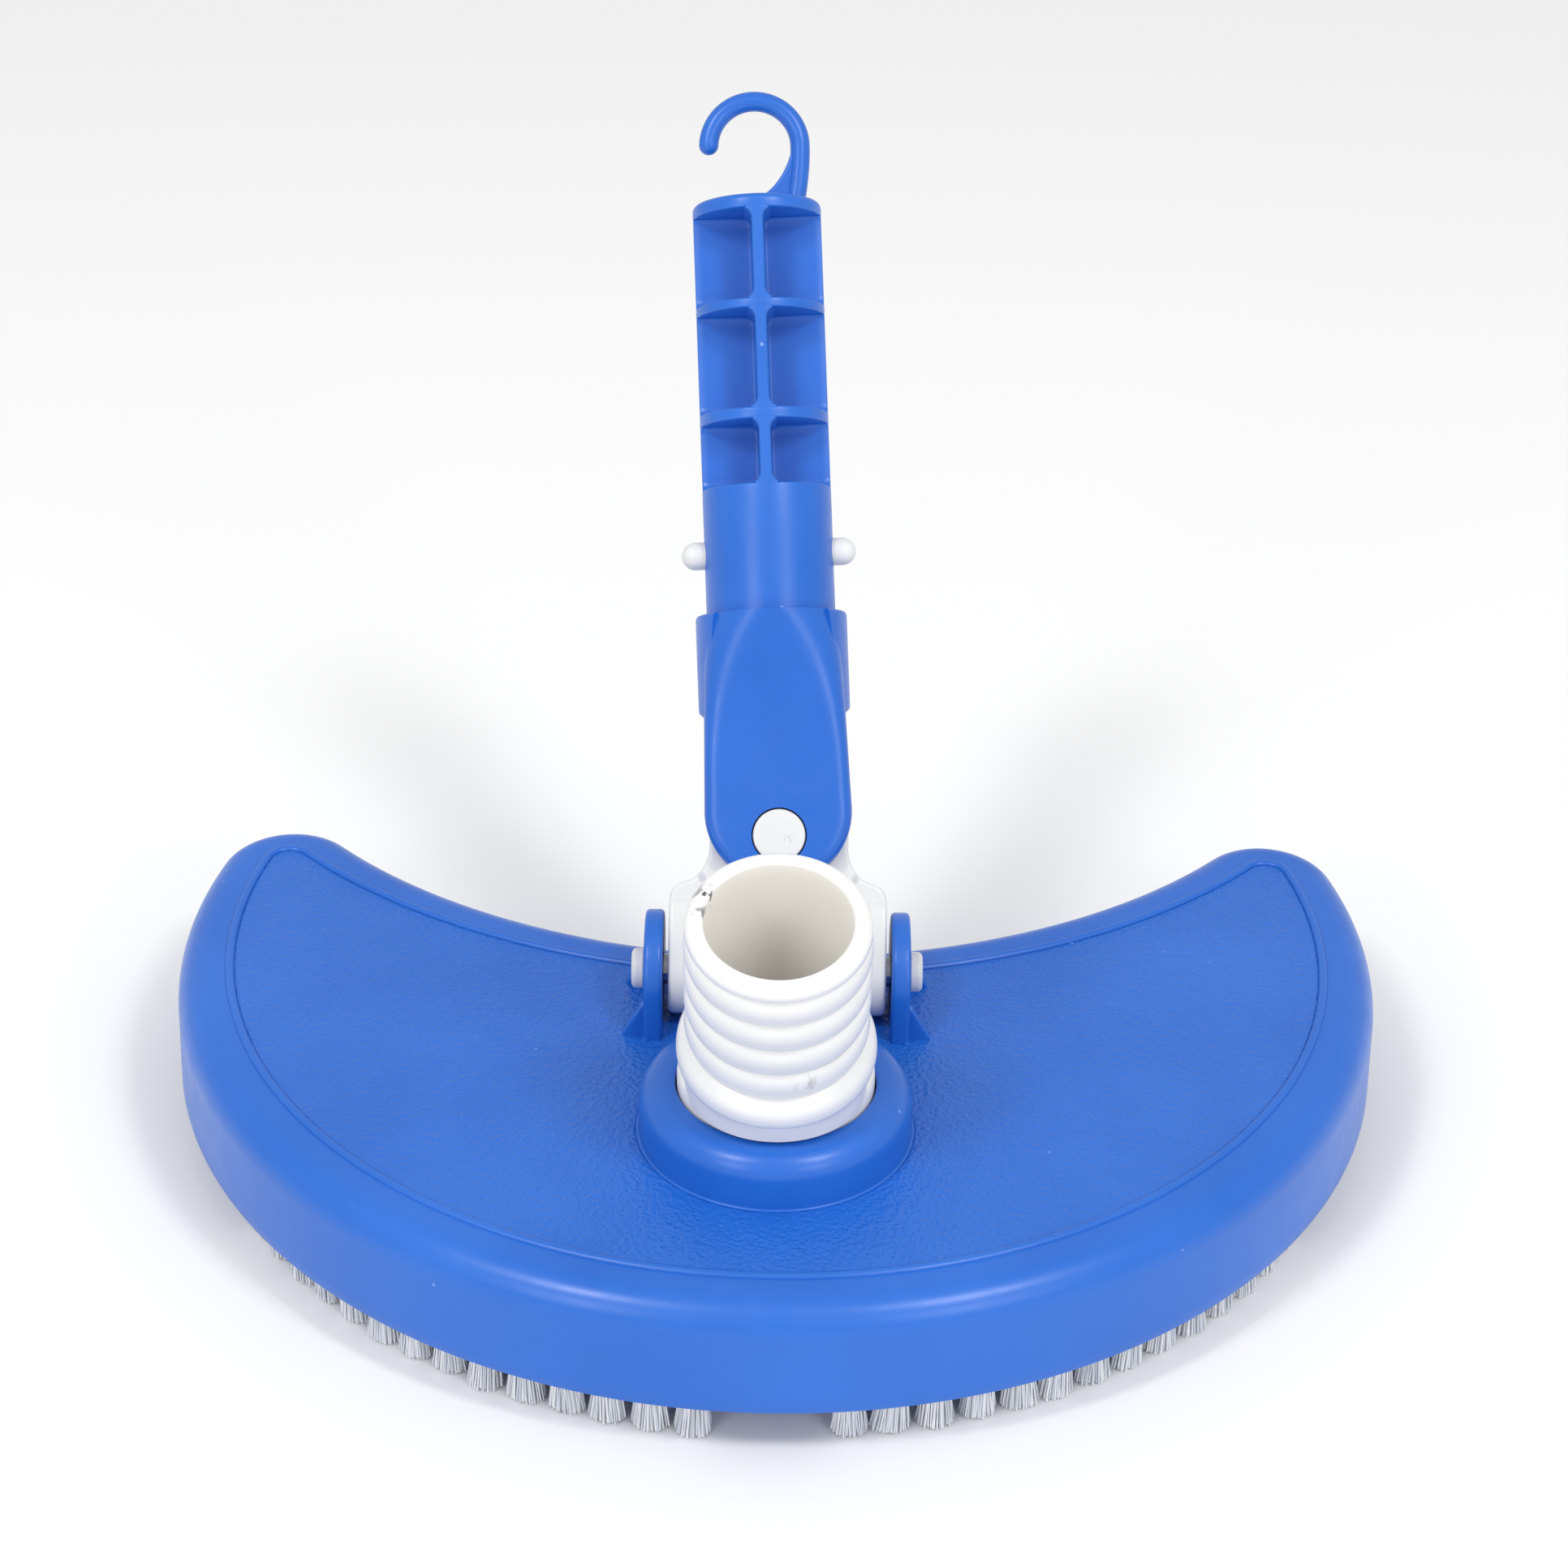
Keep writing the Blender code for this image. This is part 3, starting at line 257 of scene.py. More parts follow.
def flipped(points):
    """The mirror image to the left."""
    return points * np.array([-1.0, 1.0, 1.0])


def outward(outline):
    """Unit normals of an anticlockwise outline, square to the chord between neighbours."""
    chord = np.roll(outline, -1, 0) - np.roll(outline, 1, 0)
    normal = np.stack([chord[:, 1], -chord[:, 0]], -1)
    return normal / np.linalg.norm(normal, axis=1, keepdims=True)


def plate(outline, centre, front, back, edge, hole=0.0, rings=14, steps=6, power=1.0):
    """A plate over an anticlockwise outline in X and Z, between the depths front(x, z) and back(x, z).

    Rings run from the centre, or a round hole there, out to the outline, over a rounded edge,
    and back in again behind. power above 1 crowds the rings towards the outline.
    """
    normal = outward(outline)
    inner = outline - normal * edge
    spoke = inner - centre
    spoke /= np.linalg.norm(spoke, axis=1, keepdims=True)
    core = centre + spoke * hole
    share = (1 - (1 - np.linspace(0, 1, rings)) ** power)[:, None, None]
    face = core * (1 - share) + inner * share
    turn = np.linspace(math.pi / 2, 0, steps)[1:, None, None]
    rim = outline - normal * edge * (1 - np.cos(turn))
    lift = edge * (1 - np.sin(turn[..., 0]))

    def layer(flat, depth):
        return np.stack([flat[..., 0], depth, flat[..., 1]], -1)

    ahead = np.concatenate([layer(face, front(face[..., 0], face[..., 1])),
                            layer(rim, front(rim[..., 0], rim[..., 1]) + lift)])
    behind = np.concatenate([layer(face, back(face[..., 0], face[..., 1])),
                             layer(rim, back(rim[..., 0], rim[..., 1]) - lift)])
    return np.concatenate([ahead, behind[::-1]]), hole > 0


def level(depth):
    """A flat face at that depth."""
    return lambda x, z: np.full(np.shape(x), float(depth))


def densify(corners, spacing=0.7):
    """Points along a closed outline at a steady spacing, read by distance along its sides."""
    loop = np.vstack([corners, corners[:1]])
    length = np.r_[0, np.cumsum(np.linalg.norm(np.diff(loop, axis=0), axis=1))]
    at = np.linspace(0, length[-1], int(length[-1] / spacing), endpoint=False)
    return np.stack([np.interp(at, length, loop[:, 0]), np.interp(at, length, loop[:, 1])], -1)


def eased(outline, passes):
    """Rounds an outline's corners: each point moves to the mean of itself and its neighbours."""
    for _ in range(passes):
        outline = (outline + np.roll(outline, 1, 0) + np.roll(outline, -1, 0)) / 3
    return outline


# ---------------------------------------------------------------- head

def crescent(offset):
    """The bead's outline moved outwards by offset: front arc, horn, hollow rear arc, horn."""
    joined = FRONT_RADIUS - TIP_RADIUS, REAR_RADIUS + TIP_RADIUS
    gap = REAR_CENTRE - FRONT_CENTRE
    rise = (joined[0] ** 2 - joined[1] ** 2 + gap ** 2) / (2 * gap)
    y = FRONT_CENTRE + rise
    x = math.sqrt(joined[0] ** 2 - rise ** 2)
    front = math.degrees(math.atan2(y - FRONT_CENTRE, x))
    rear = math.degrees(math.atan2(y - REAR_CENTRE, x))
    horn = TIP_RADIUS + offset
    return np.concatenate([
        bow(0, FRONT_CENTRE, FRONT_RADIUS + offset, -180 - front, front, FRONT_STEPS + 1)[:-1],
        bow(x, y, horn, front, rear + 180, HORN_STEPS + 1)[:-1],
        bow(0, REAR_CENTRE, REAR_RADIUS - offset, rear, -180 - rear, REAR_STEPS + 1)[:-1],
        bow(-x, y, horn, -rear, 180 - front, HORN_STEPS + 1)[:-1]])


def cover():
    """The cover as one closed grid: each column runs up the bore, over boss, deck, bead and edge,
    down the wall, and back under the roof to the duct. Rows are circles near the boss and the
    bead's outline moved in or out elsewhere; the deck runs straight from one to the other.
    Each horn's columns gather low at the side of the boss, so none of them cross."""
    inside = crescent(-1.35)
    ends = np.cumsum([0, FRONT_STEPS, HORN_STEPS, REAR_STEPS, HORN_STEPS])
    angle = np.radians(np.interp(np.arange(len(inside)), ends,
                                 [-180 - HORN_FROM, HORN_FROM, HORN_TO, 180 - HORN_TO,
                                  180 - HORN_FROM]))
    rim = np.stack([np.cos(angle), np.sin(angle)], -1)

    def circle(rows, mask=0.0):
        rows = np.asarray(rows, float)
        flat = rows[:, :1, None] * rim
        return lift(flat, rows[:, 1], mask)

    def ring(rows, mask=0.0):
        rows = np.asarray(rows, float)
        return lift(np.stack([crescent(offset) for offset in rows[:, 0]]), rows[:, 1], mask)

    def lift(flat, height, mask):
        tall = np.broadcast_to(np.asarray(height)[:, None, None], (*flat.shape[:2], 1))
        return np.concatenate([flat, tall, np.full(tall.shape, mask)], -1)

    def across(near, far, height, rows, mask):
        share = np.linspace(0, 1, rows)[:, None, None]
        return lift(near * (1 - share) + far * share, np.full(rows, height), mask)

    lip_foot = BOSS_HEIGHT - LIP_THICKNESS
    top_edge = SKIRT - DRAFT - EDGE_ROUND
    inner = SKIRT - WALL
    inner_round = EDGE_ROUND - WALL
    bead = bow(0, 0, BEAD_HALF, 180, 0, 9) * np.array([1, BEAD_HEIGHT / BEAD_HALF])
    return [(np.concatenate([
        circle([(LIP_RADIUS, lip_foot)]),
        circle(bow(LIP_RADIUS + 0.5, BOSS_HEIGHT - 0.5, 0.5, 180, 90, 5)),
        circle([(22.6, BOSS_HEIGHT)]),
        circle(bow(BOSS_OUTER - BOSS_ROUND, BOSS_HEIGHT - BOSS_ROUND, BOSS_ROUND, 90, 0, 15)),
        circle([(BOSS_OUTER + 0.12, 0.55)]),
        circle(bow(BOSS_OUTER + 0.55, 0.42, 0.42, 180, 270, 5)),
        across(rim * (BOSS_OUTER + 1.0), inside, 0.0, 34, 1.0),
        ring(bead),
        ring([(1.3, 0.0), (2.4, 0.0)]),
        ring(bow(top_edge, -EDGE_ROUND, EDGE_ROUND, 90, 0, 18)),
        ring(np.linspace((top_edge + EDGE_ROUND, -EDGE_ROUND), (SKIRT, 0.4 - SHELL_HEIGHT), 8)[1:]),
        ring([(SKIRT - 0.12, 0.12 - SHELL_HEIGHT), (SKIRT - 0.5, -SHELL_HEIGHT)]),
        ring([(inner + 0.4, -SHELL_HEIGHT), (inner, 0.4 - SHELL_HEIGHT)]),
        ring(bow(inner - inner_round, -EDGE_ROUND, inner_round, 0, 90, 8)),
        across(inside, rim * BOSS_OUTER, -WALL, 16, 0.0),
        circle([(BOSS_OUTER, DUCT_FOOT), (SOCKET_RADIUS, DUCT_FOOT), (SOCKET_RADIUS, lip_foot)]),
    ]), True)]


def ears():
    """Round-topped hinge ears, their gussets and foot fillets: the right side's, then its mirror.

    An ear is a plate over a round-topped outline; a gusset and a fillet are plates over theirs."""
    outline = densify(np.concatenate([[(-EAR_RADIUS, EAR_FOOT), (EAR_RADIUS, EAR_FOOT)],
                                      bow(0, 0, EAR_RADIUS, 0, 180, 60)]))
    half = EAR_THICKNESS / 2
    face, looped = plate(outline, np.zeros(2), level(-half), level(half), 0.95, EAR_BORE, 8)
    stood = np.stack([face[..., 1] + EAR_SPAN / 2, face[..., 0], face[..., 2]], -1)
    outer = EAR_SPAN / 2 + half
    # Each gusset is a fin from the ear's face down to the deck
    corners = np.array([(outer - 1.5, DECK - 1.0), (outer + GUSSET_REACH + 0.3, DECK - 1.0),
                        (outer + GUSSET_REACH, DECK + 0.25), (outer + 0.35, DECK + GUSSET_HEIGHT),
                        (outer - 1.5, DECK + GUSSET_HEIGHT + 0.9)])
    outline = eased(densify(corners, 0.4), 2)
    rib, closed = plate(outline, outline.mean(0), level(-GUSSET_THICKNESS / 2),
                        level(GUSSET_THICKNESS / 2), 0.3, rings=4, steps=4)
    # A small fillet runs along the ear's foot
    fillet = np.array([(outer - 1.0, DECK - 0.5), (outer + 0.55, DECK - 0.5), (outer + 0.1, DECK + 0.3),
                      (outer - 1.0, DECK + 0.5)])
    fillet = densify(fillet, 0.25)
    foot, _ = plate(fillet, fillet.mean(0), level(-EAR_RADIUS - 0.35), level(EAR_RADIUS + 0.35), 0.15,
                    rings=3, steps=3)
    found = [(stood, looped), (foot, False)]
    for y in (-GUSSET_Y, GUSSET_Y):
        found.append((rib + np.array([0, y, 0]), closed))
    return found + [(flipped(points), loop) for points, loop in found]


def posts():
    """Screw posts that hang from the roof, each round its packed screw."""
    found = []
    for number in range(1, 7):
        low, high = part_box(f"base_screw_{number}")
        middle = (np.array(low) + np.array(high)) / (2 * MM) - SWIVEL
        post = revolve(drum(POST_RADIUS, DUCT_FOOT, POST_TOP, 0.3, 0.3, 3), 32)
        found.append((post + np.array([middle[0], middle[1], 0]), False))
    return found


# ---------------------------------------------------------------- hose connector

def tail():
    """The ribbed tail and its upright barrel as one closed grid, outside down and bore up.

    Upper rows are circles about the leaning axis. Rows through the barrel are level slices,
    whose radius is the larger of the barrel's and of the leaning stem's ellipse.
    """
    turn = np.linspace(0, 2 * math.pi, 144, endpoint=False)
    ray = np.stack([np.cos(turn), np.sin(turn)], -1)

    def leaning(rows):
        radius, height = np.asarray(rows, float).T
        ring = np.concatenate([radius[:, None, None] * ray,
                               np.repeat(height[:, None, None], len(turn), 1)], -1)
        return ring @ TAIL_AXES.T + np.array([0, TAIL_SETBACK, 0])

    def slice_radius(radius, height):
        shift = TAIL_SETBACK - height * math.tan(TAIL_TILT)
        long = radius / math.cos(TAIL_TILT)
        a = (ray[:, 0] / radius) ** 2 + (ray[:, 1] / long) ** 2
        b = ray[:, 1] * shift / long ** 2
        c = (shift / long) ** 2 - 1
        return (b + np.sqrt(b * b - a * c)) / a

    def level_ring(height, radius):
        flat = np.broadcast_to(radius, turn.shape)[:, None] * ray
        return np.concatenate([flat, np.full((len(turn), 1), height)], -1)[None]

    def swell(height):
        return np.maximum(slice_radius(STEM_RADIUS, height), BARREL_RADIUS)

    # Each rib is a flattened half sine between two grooves
    share = np.linspace(0, 1, 13)
    scallop = np.sin(math.pi * share ** 0.87) ** 0.72
    ribs = []
    for high, low in zip(GROOVES, GROOVES[1:]):
        radius = GROOVE_RADIUS + (RIB_RADIUS - GROOVE_RADIUS) * scallop
        ribs.append(np.stack([radius, high + (low - high) * share], -1)[:-1])
    collar = [(GROOVE_RADIUS, GROOVES[-1]), (19.3, 31.2), (20.1, 30.2), (20.65, 29.0),
              (COLLAR_RADIUS, 27.8), (COLLAR_RADIUS, 26.6), (20.65, 25.7), (20.2, COLLAR_FOOT + 0.15),
              (19.8, COLLAR_FOOT), (STEM_RADIUS + 0.2, COLLAR_FOOT), (STEM_RADIUS, 24.2)]
    shoulder = BARREL_TOP - 0.9
    outside = [
        leaning(bow(TAIL_BORE + 0.7, TAIL_LENGTH - 0.7, 0.7, 180, 90, 6)),
        leaning(bow(RIM_RADIUS - 1.9, TAIL_LENGTH - 1.9, 1.9, 90, 0, 11)),
        leaning([(RIM_RADIUS, 63.9), (18.55, 63.3)]),
        leaning(np.concatenate(ribs)), leaning(collar),
        level_ring(STEM_SLICE, slice_radius(STEM_RADIUS, STEM_SLICE)),
        level_ring(BARREL_TOP, slice_radius(STEM_RADIUS, BARREL_TOP)),
        level_ring(BARREL_TOP, np.maximum(slice_radius(STEM_RADIUS, BARREL_TOP),
                                          BARREL_RADIUS - 0.9)),
        level_ring(BARREL_TOP - 0.25, np.maximum(slice_radius(STEM_RADIUS, BARREL_TOP - 0.25),
                                                 BARREL_RADIUS - 0.3)),
        level_ring(shoulder, swell(shoulder)), level_ring(OVERHANG_FOOT, swell(OVERHANG_FOOT)),
        level_ring(OVERHANG_FOOT, BARREL_RADIUS), level_ring(FLANGE_TOP, BARREL_RADIUS),
        level_ring(FLANGE_TOP, FLANGE_RADIUS), level_ring(FLANGE_FOOT, FLANGE_RADIUS),
        level_ring(FLANGE_FOOT, BARREL_BORE), level_ring(BOSS_HEIGHT, BARREL_BORE),
        level_ring(BORE_SLICE, np.minimum(slice_radius(TAIL_BORE, BORE_SLICE), BARREL_BORE + 2.0)),
        leaning(np.linspace((TAIL_BORE, BORE_FOOT), (TAIL_BORE, TAIL_LENGTH - 0.7), 16)[:-1])]
    return [(np.concatenate(outside), True)]


# ---------------------------------------------------------------- yoke

def yoke_block():
    """Block with a round foot, waisted up to a thin round tongue.

    Half its depth is the foot's circle low down, then a quarter ellipse that flattens to the
    shoulder's, and it eases to the tongue's inside the circle that the fork swings in.
    """
    right = np.array([(YOKE_HALF, 0), (YOKE_HALF, SHOULDER_Z - SHOULDER_ROUND - 0.1)])
    shoulder = bow(YOKE_HALF - SHOULDER_ROUND, SHOULDER_Z - SHOULDER_ROUND, SHOULDER_ROUND, 0, 66, 12)
    neck = np.array([(18.8, SHOULDER_Z + 0.7), (17.2, SHOULDER_Z + 2.2), (16.0, SHOULDER_Z + 4.4),
                     (TONGUE_RADIUS, NECK_Z)])
    half = np.concatenate([[(YOKE_HALF, -YOKE_BARREL + 0.02)], right, shoulder, neck,
                           bow(0, PIN_Z, TONGUE_RADIUS, 0, 88, 30)])
    outline = densify(np.concatenate([half, half[::-1] * np.array([-1, 1])]), 0.45)
    outline = eased(outline, 5)

    def depth(x, z):
        foot = np.sqrt(np.clip(YOKE_BARREL ** 2 - z ** 2, 0.01, None))
        rise = np.clip(z / (0.8 * SHOULDER_Z), 0, 1)
        swell = SHOULDER_DEPTH + (YOKE_BARREL - SHOULDER_DEPTH) * np.sqrt(1 - rise * rise)
        foot = np.where(z > 0, swell, foot)
        reach = np.hypot(x, z - PIN_Z) - RELIEF_RADIUS
        share = np.clip((reach + 0.5) / RELIEF_FADE, 0, 1)
        share = share * share * (3 - 2 * share)
        thin = np.clip(TONGUE_DEPTH + (foot - TONGUE_DEPTH) * share, 0, None)
        return np.where(z > 0, thin, foot)

    return [plate(outline, np.array([0, YOKE_CENTRE_Z]), lambda x, z: -depth(x, z), depth, 0.9,
                  rings=90)]


# ---------------------------------------------------------------- handle

def ramp(z):
    """Share of the way from the flat fork to the round collar."""
    return np.clip((z - RAMP_FROM) / (COLLAR_TO - RAMP_FROM), 0, 1) ** RAMP_POWER


def fork_width(z):
    """Half width of the fork above its round end."""
    rise = np.clip((z - FORK_END_CENTRE) / (COLLAR_TO - FORK_END_CENTRE), 0, 1)
    return FORK_END_RADIUS + (FORK_TOP_WIDTH - FORK_END_RADIUS) * rise


def fork_sizes(z):
    """Half width, depth, and the corner's two radii, which grow to an ellipse at the collar."""
    width, share = fork_width(z), ramp(z)
    depth = FORK_DEPTH + (GRIP_COLLAR - FORK_DEPTH) * share
    wide = CORNER_WIDE + (width - CORNER_WIDE) * share
    deep = CORNER_DEEP + (depth - CORNER_DEEP) * share
    return width, depth, wide, deep


def corner_power(z):
    """Power of the corner's curve: squarer than an ellipse low down, an ellipse at the collar."""
    return 2.0 + 0.7 * (1 - ramp(z))


def fork_front(x, z):
    """Depth of the fork's front face: flat, then falling off over the corner's ellipse."""
    width, depth, wide, deep = fork_sizes(z)
    inset = np.where(z < FORK_END_CENTRE,
                     FORK_END_RADIUS - np.hypot(x, z - FORK_END_CENTRE), width - np.abs(x))
    off = np.clip(1 - inset / wide, 0, 1)
    power = corner_power(z)
    return -(depth - deep * (1 - np.clip(1 - off ** power, 0, None) ** (1 / power)))


def side_width(y, z):
    """Half width of the fork at a distance y from its middle plane."""
    width, depth, wide, deep = fork_sizes(z)
    off = np.clip((np.abs(y) - (depth - deep)) / deep, 0, 1)
    power = corner_power(z)
    return width - wide * (1 - (1 - off ** power) ** (1 / power))


def fork():
    """Two cheeks with a counterbore each, and the solid between them above the slot."""
    high = np.linspace(FORK_END_CENTRE, COLLAR_TO, 90)
    edge = side_width(SLOT_HALF, high)
    top = np.linspace(edge[-1], -edge[-1], 70)[1:-1]
    outline = np.concatenate([
        bow(0, FORK_END_CENTRE, FORK_END_RADIUS, 180, 360, 110)[1:-1],
        np.stack([edge, high], -1), np.stack([top, np.full(top.shape, COLLAR_TO)], -1),
        np.stack([-edge, high], -1)[::-1]])
    cheek, looped = plate(outline, np.zeros(2), fork_front, level(-SLOT_HALF), 0.02,
                          PIN_HEAD + PIN_GAP, 38, 2, 1.7)
    z = np.linspace(SLOT_TOP, COLLAR_TO, 60)[:, None]
    y = np.linspace(-SLOT_HALF, SLOT_HALF, 15)[None]
    side = side_width(y, z)
    flank = np.stack([side, np.broadcast_to(y, side.shape), np.broadcast_to(z, side.shape)], -1)
    core = np.concatenate([flank, flipped(flank)[:, ::-1]], 1)
    core = capped(core, SLOT_TOP, COLLAR_TO)
    return [(cheek, looped), (cheek * np.array([1, -1, 1.0]), looped), (core, False)]


def collar_wings():
    """The collar's two sides, a band of the collar's circle that ends against the fork."""
    radius = np.array([GRIP_COLLAR - 1.7, GRIP_COLLAR - 0.15, GRIP_COLLAR, GRIP_COLLAR,
                       GRIP_COLLAR - 0.3, GRIP_COLLAR - 0.9])
    height = np.array([COLLAR_FROM, COLLAR_FROM + 1.5, COLLAR_FROM + 2.0, COLLAR_TO - 0.9,
                       COLLAR_TO - 0.25, COLLAR_TO])
    share = np.linspace(0, 1, 24)
    finer = np.interp(share * (len(height) - 1), np.arange(len(height)), height)
    round_by = np.interp(share * (len(height) - 1), np.arange(len(height)), radius)
    reach = np.radians(30 + 11 * (finer - COLLAR_FROM) / (COLLAR_TO - COLLAR_FROM))[:, None]
    turn = np.linspace(-1, 1, 40)[None] * reach
    outer = np.stack([np.cos(turn), np.sin(turn)], -1) * round_by[:, None, None]
    inner = np.stack([np.cos(turn), np.sin(turn)], -1)[:, ::-1] * WING_INNER
    ring = np.concatenate([outer, inner], 1)
    tall = np.broadcast_to(finer[:, None, None], (*ring.shape[:2], 1))
    band = capped(np.concatenate([ring, tall], -1), COLLAR_FROM, COLLAR_TO, WING_MIDDLE)
    return [(band, False), (flipped(band), False)]


def cross_column():
    """The grip's spine and web: a cross with filleted corners, flared where it meets each rib.

    Each ring is one quarter of the cross, then its mirror, then both turned half way round. The
    quarter runs along the spine's rim, down its side, round the fillet and out along the web."""
    z = np.linspace(SHANK_TO - 0.6, CAP_FROM + 0.6, 180)
    faces = np.array([SHANK_TO, *np.ravel(RIBS), CAP_FROM])
    near = np.abs(z[:, None] - faces).min(1)
    close_by = np.clip(WEB_FLARE - near, 0, WEB_FLARE)
    flare = WEB_FLARE - np.sqrt(np.clip(WEB_FLARE ** 2 - close_by ** 2, 0, None))
    spine = (WEB_HALF + flare)[:, None]
    web = (WEB_HALF + 0.45 * flare)[:, None]
    bend, reach = WEB_BEND, SHANK_RADIUS - 0.04
    turn = np.radians(np.linspace(180, 270, 7))[None]
    ones = np.ones((len(z), 1))
    crown = np.linspace(0, 1, 4)[None]
    rim_x = (spine - 0.3) * crown
    tip = np.sqrt(reach ** 2 - rim_x ** 2)
    drop = np.linspace(0, 1, 8)[None]
    shank_y = np.sqrt(reach ** 2 - spine ** 2)
    fall_y = (shank_y - 0.3) * (1 - drop) + (web + bend) * drop
    fillet_x = spine + bend + bend * np.cos(turn)
    fillet_y = web + bend + bend * np.sin(turn)
    shank_x = np.sqrt(reach ** 2 - web ** 2)
    run_x = (spine + bend) * (1 - drop) + (shank_x - 0.3) * drop
    end_y = (web - 0.3) * (1 - crown[:, 1:])
    end_x = np.sqrt(reach ** 2 - end_y ** 2)
    x = np.concatenate([rim_x, spine * ones.repeat(8, 1), fillet_x[:, 1:-1], run_x,
                        shank_x * ones - 0.05, end_x[:, :-1]], 1)
    y = np.concatenate([tip, fall_y, fillet_y[:, 1:-1], web * ones.repeat(8, 1),
                        web - 0.12, end_y[:, :-1]], 1)
    quarter = np.stack([x, y], -1)[:, ::-1]
    turned = quarter * np.array([-1, 1])
    ring = np.concatenate([quarter, turned[:, ::-1][:, 1:], -quarter, -turned[:, ::-1][:, 1:]], 1)
    tall = np.broadcast_to(z[:, None, None], (*ring.shape[:2], 1))
    return [(capped(np.concatenate([ring, tall], -1), z[0], z[-1]), False)]


def hook():
    """Round wire carried up the right side and over the loop, with a thin web at its foot.

    Each ring of the wire is square to its path; the free end closes as a half ball.
    """
    rise = np.linspace(0, 1, 16)
    path = np.concatenate([
        np.stack([HOOK_RADIUS - HOOK_LEAN * (1 - rise) ** 1.8,
                  CAP_TO - HOOK_ROOT + (HOOK_CENTRE - CAP_TO + HOOK_ROOT) * rise], -1)[:-1],
        bow(0, HOOK_CENTRE, HOOK_RADIUS, 0, HOOK_OPENING, 80)])
    run = np.gradient(path, axis=0)
    run /= np.linalg.norm(run, axis=1, keepdims=True)
    close = np.radians(np.linspace(0, 90, 8))[1:]
    path = np.concatenate([path[:1], path, path[-1] + run[-1] * HOOK_WIRE * np.sin(close)[:, None]])
    run = np.concatenate([run[:1], run, np.repeat(run[-1:], len(close), 0)])
    radius = np.concatenate([[0.0], np.full(len(path) - len(close) - 1, HOOK_WIRE),
                             HOOK_WIRE * np.cos(close)])
    radius[-1] = 0.0
    turn = np.linspace(0, 2 * math.pi, 28, endpoint=False)
    side = np.stack([run[:, 1], np.zeros(len(run)), -run[:, 0]], -1)
    middle = np.stack([path[:, 0], np.zeros(len(path)), path[:, 1]], -1)
    wire = middle[:, None] + radius[:, None, None] * (
        np.cos(turn)[None, :, None] * side[:, None] + np.sin(turn)[None, :, None] * np.array([0, 1, 0]))
    # The web's outline: up the outside of the wire, and back down a hollow curve to the cap
    low = HOOK_RADIUS - HOOK_LEAN
    foot = np.array([(-3.4, CAP_TO - 1.0), (low + 1.2, CAP_TO - 1.0), (low + 1.7, CAP_TO + 4.0),
                     (HOOK_RADIUS, CAP_TO + 8.0), (HOOK_RADIUS, HOOK_CENTRE - 0.5),
                     (8.2, HOOK_CENTRE - 1.5), (7.4, CAP_TO + 9.3), (6.0, CAP_TO + 6.6),
                     (4.0, CAP_TO + 4.0), (1.6, CAP_TO + 2.0), (-1.2, CAP_TO + 0.7),
                     (-3.4, CAP_TO + 0.1)])
    foot = densify(foot, 0.45)
    foot = eased(foot, 3)
    web = plate(foot, np.array([6.6, CAP_TO + 1.8]), level(-1.25), level(1.25), 0.5, rings=10, steps=4)
    return [(wire, False), web]


def handle_moulding():
    """Everything of the blue handle: fork, collar, shank, grip, ribs, cap and hook."""
    grids = fork() + collar_wings() + cross_column() + hook()
    grids.append((revolve(drum(SHANK_RADIUS, COLLAR_TO - 4.0, SHANK_TO, 0.2, 0.55), 128), False))
    for low, high in RIBS:
        grids.append((revolve(drum(SHANK_RADIUS, low, high, 0.55, 0.55), 128), False))
    grids.append((revolve(drum(SHANK_RADIUS, CAP_FROM, CAP_TO, 0.5, 1.5, 9), 128), False))
    return grids


def snap_button(mirror):
    """Round-ended button with its flange inside the shank."""
    outer = SHANK_RADIUS + BUTTON_PROUD
    inner = outer - BUTTON_LENGTH
    flange = BUTTON_RADIUS + BUTTON_FLANGE
    flange_top = inner + BUTTON_FLANGE_THICKNESS
    profile = np.concatenate([[(0, inner), (flange, inner), (flange, flange_top),
                               (BUTTON_RADIUS, flange_top)],
                              bow(0, outer - BUTTON_RADIUS, BUTTON_RADIUS, 0, 90, 16)])
    profile[-1, 0] = 0.0
    points = about_x(revolve(profile, 40)) + np.array([0, 0, BUTTON_Z])
    return [(flipped(points) if mirror else points, False)]


def pin_head():
    """Clevis pin with a flush, slightly domed head."""
    rim, seat, end = FORK_DEPTH - 0.15, SLOT_HALF + PIN_GAP, -FORK_DEPTH + PIN_GAP
    profile = np.concatenate([[(0, end), (PIN_SHAFT, end), (PIN_SHAFT, seat), (PIN_HEAD, seat)],
                              bow(PIN_HEAD - 0.45, rim - 0.45, 0.45, 0, 80, 6),
                              [(4.0, rim + 0.07), (2.0, rim + 0.12), (0, rim + 0.13)]])
    return [(about_front(revolve(profile, 72)), False)]


def axle_cap(mirror):
    """White cap with a big round on its rim, and its stub inside the axle."""
    face = EAR_SPAN / 2 + EAR_THICKNESS / 2 + CAP_GAP
    end, outer = face - STUB_LENGTH, face + CAP_THICKNESS
    profile = np.concatenate([[(0, end), (STUB_RADIUS, end), (STUB_RADIUS, face),
                               (CAP_RADIUS - 0.15, face), (CAP_RADIUS, face + 0.2)],
                              bow(CAP_RADIUS - CAP_ROUND, outer - CAP_ROUND, CAP_ROUND, 0, 82, 9),
                              [(0, outer)]])
    points = about_x(revolve(profile, 56))
    return [(flipped(points) if mirror else points, False)]


# ---------------------------------------------------------------- brushes

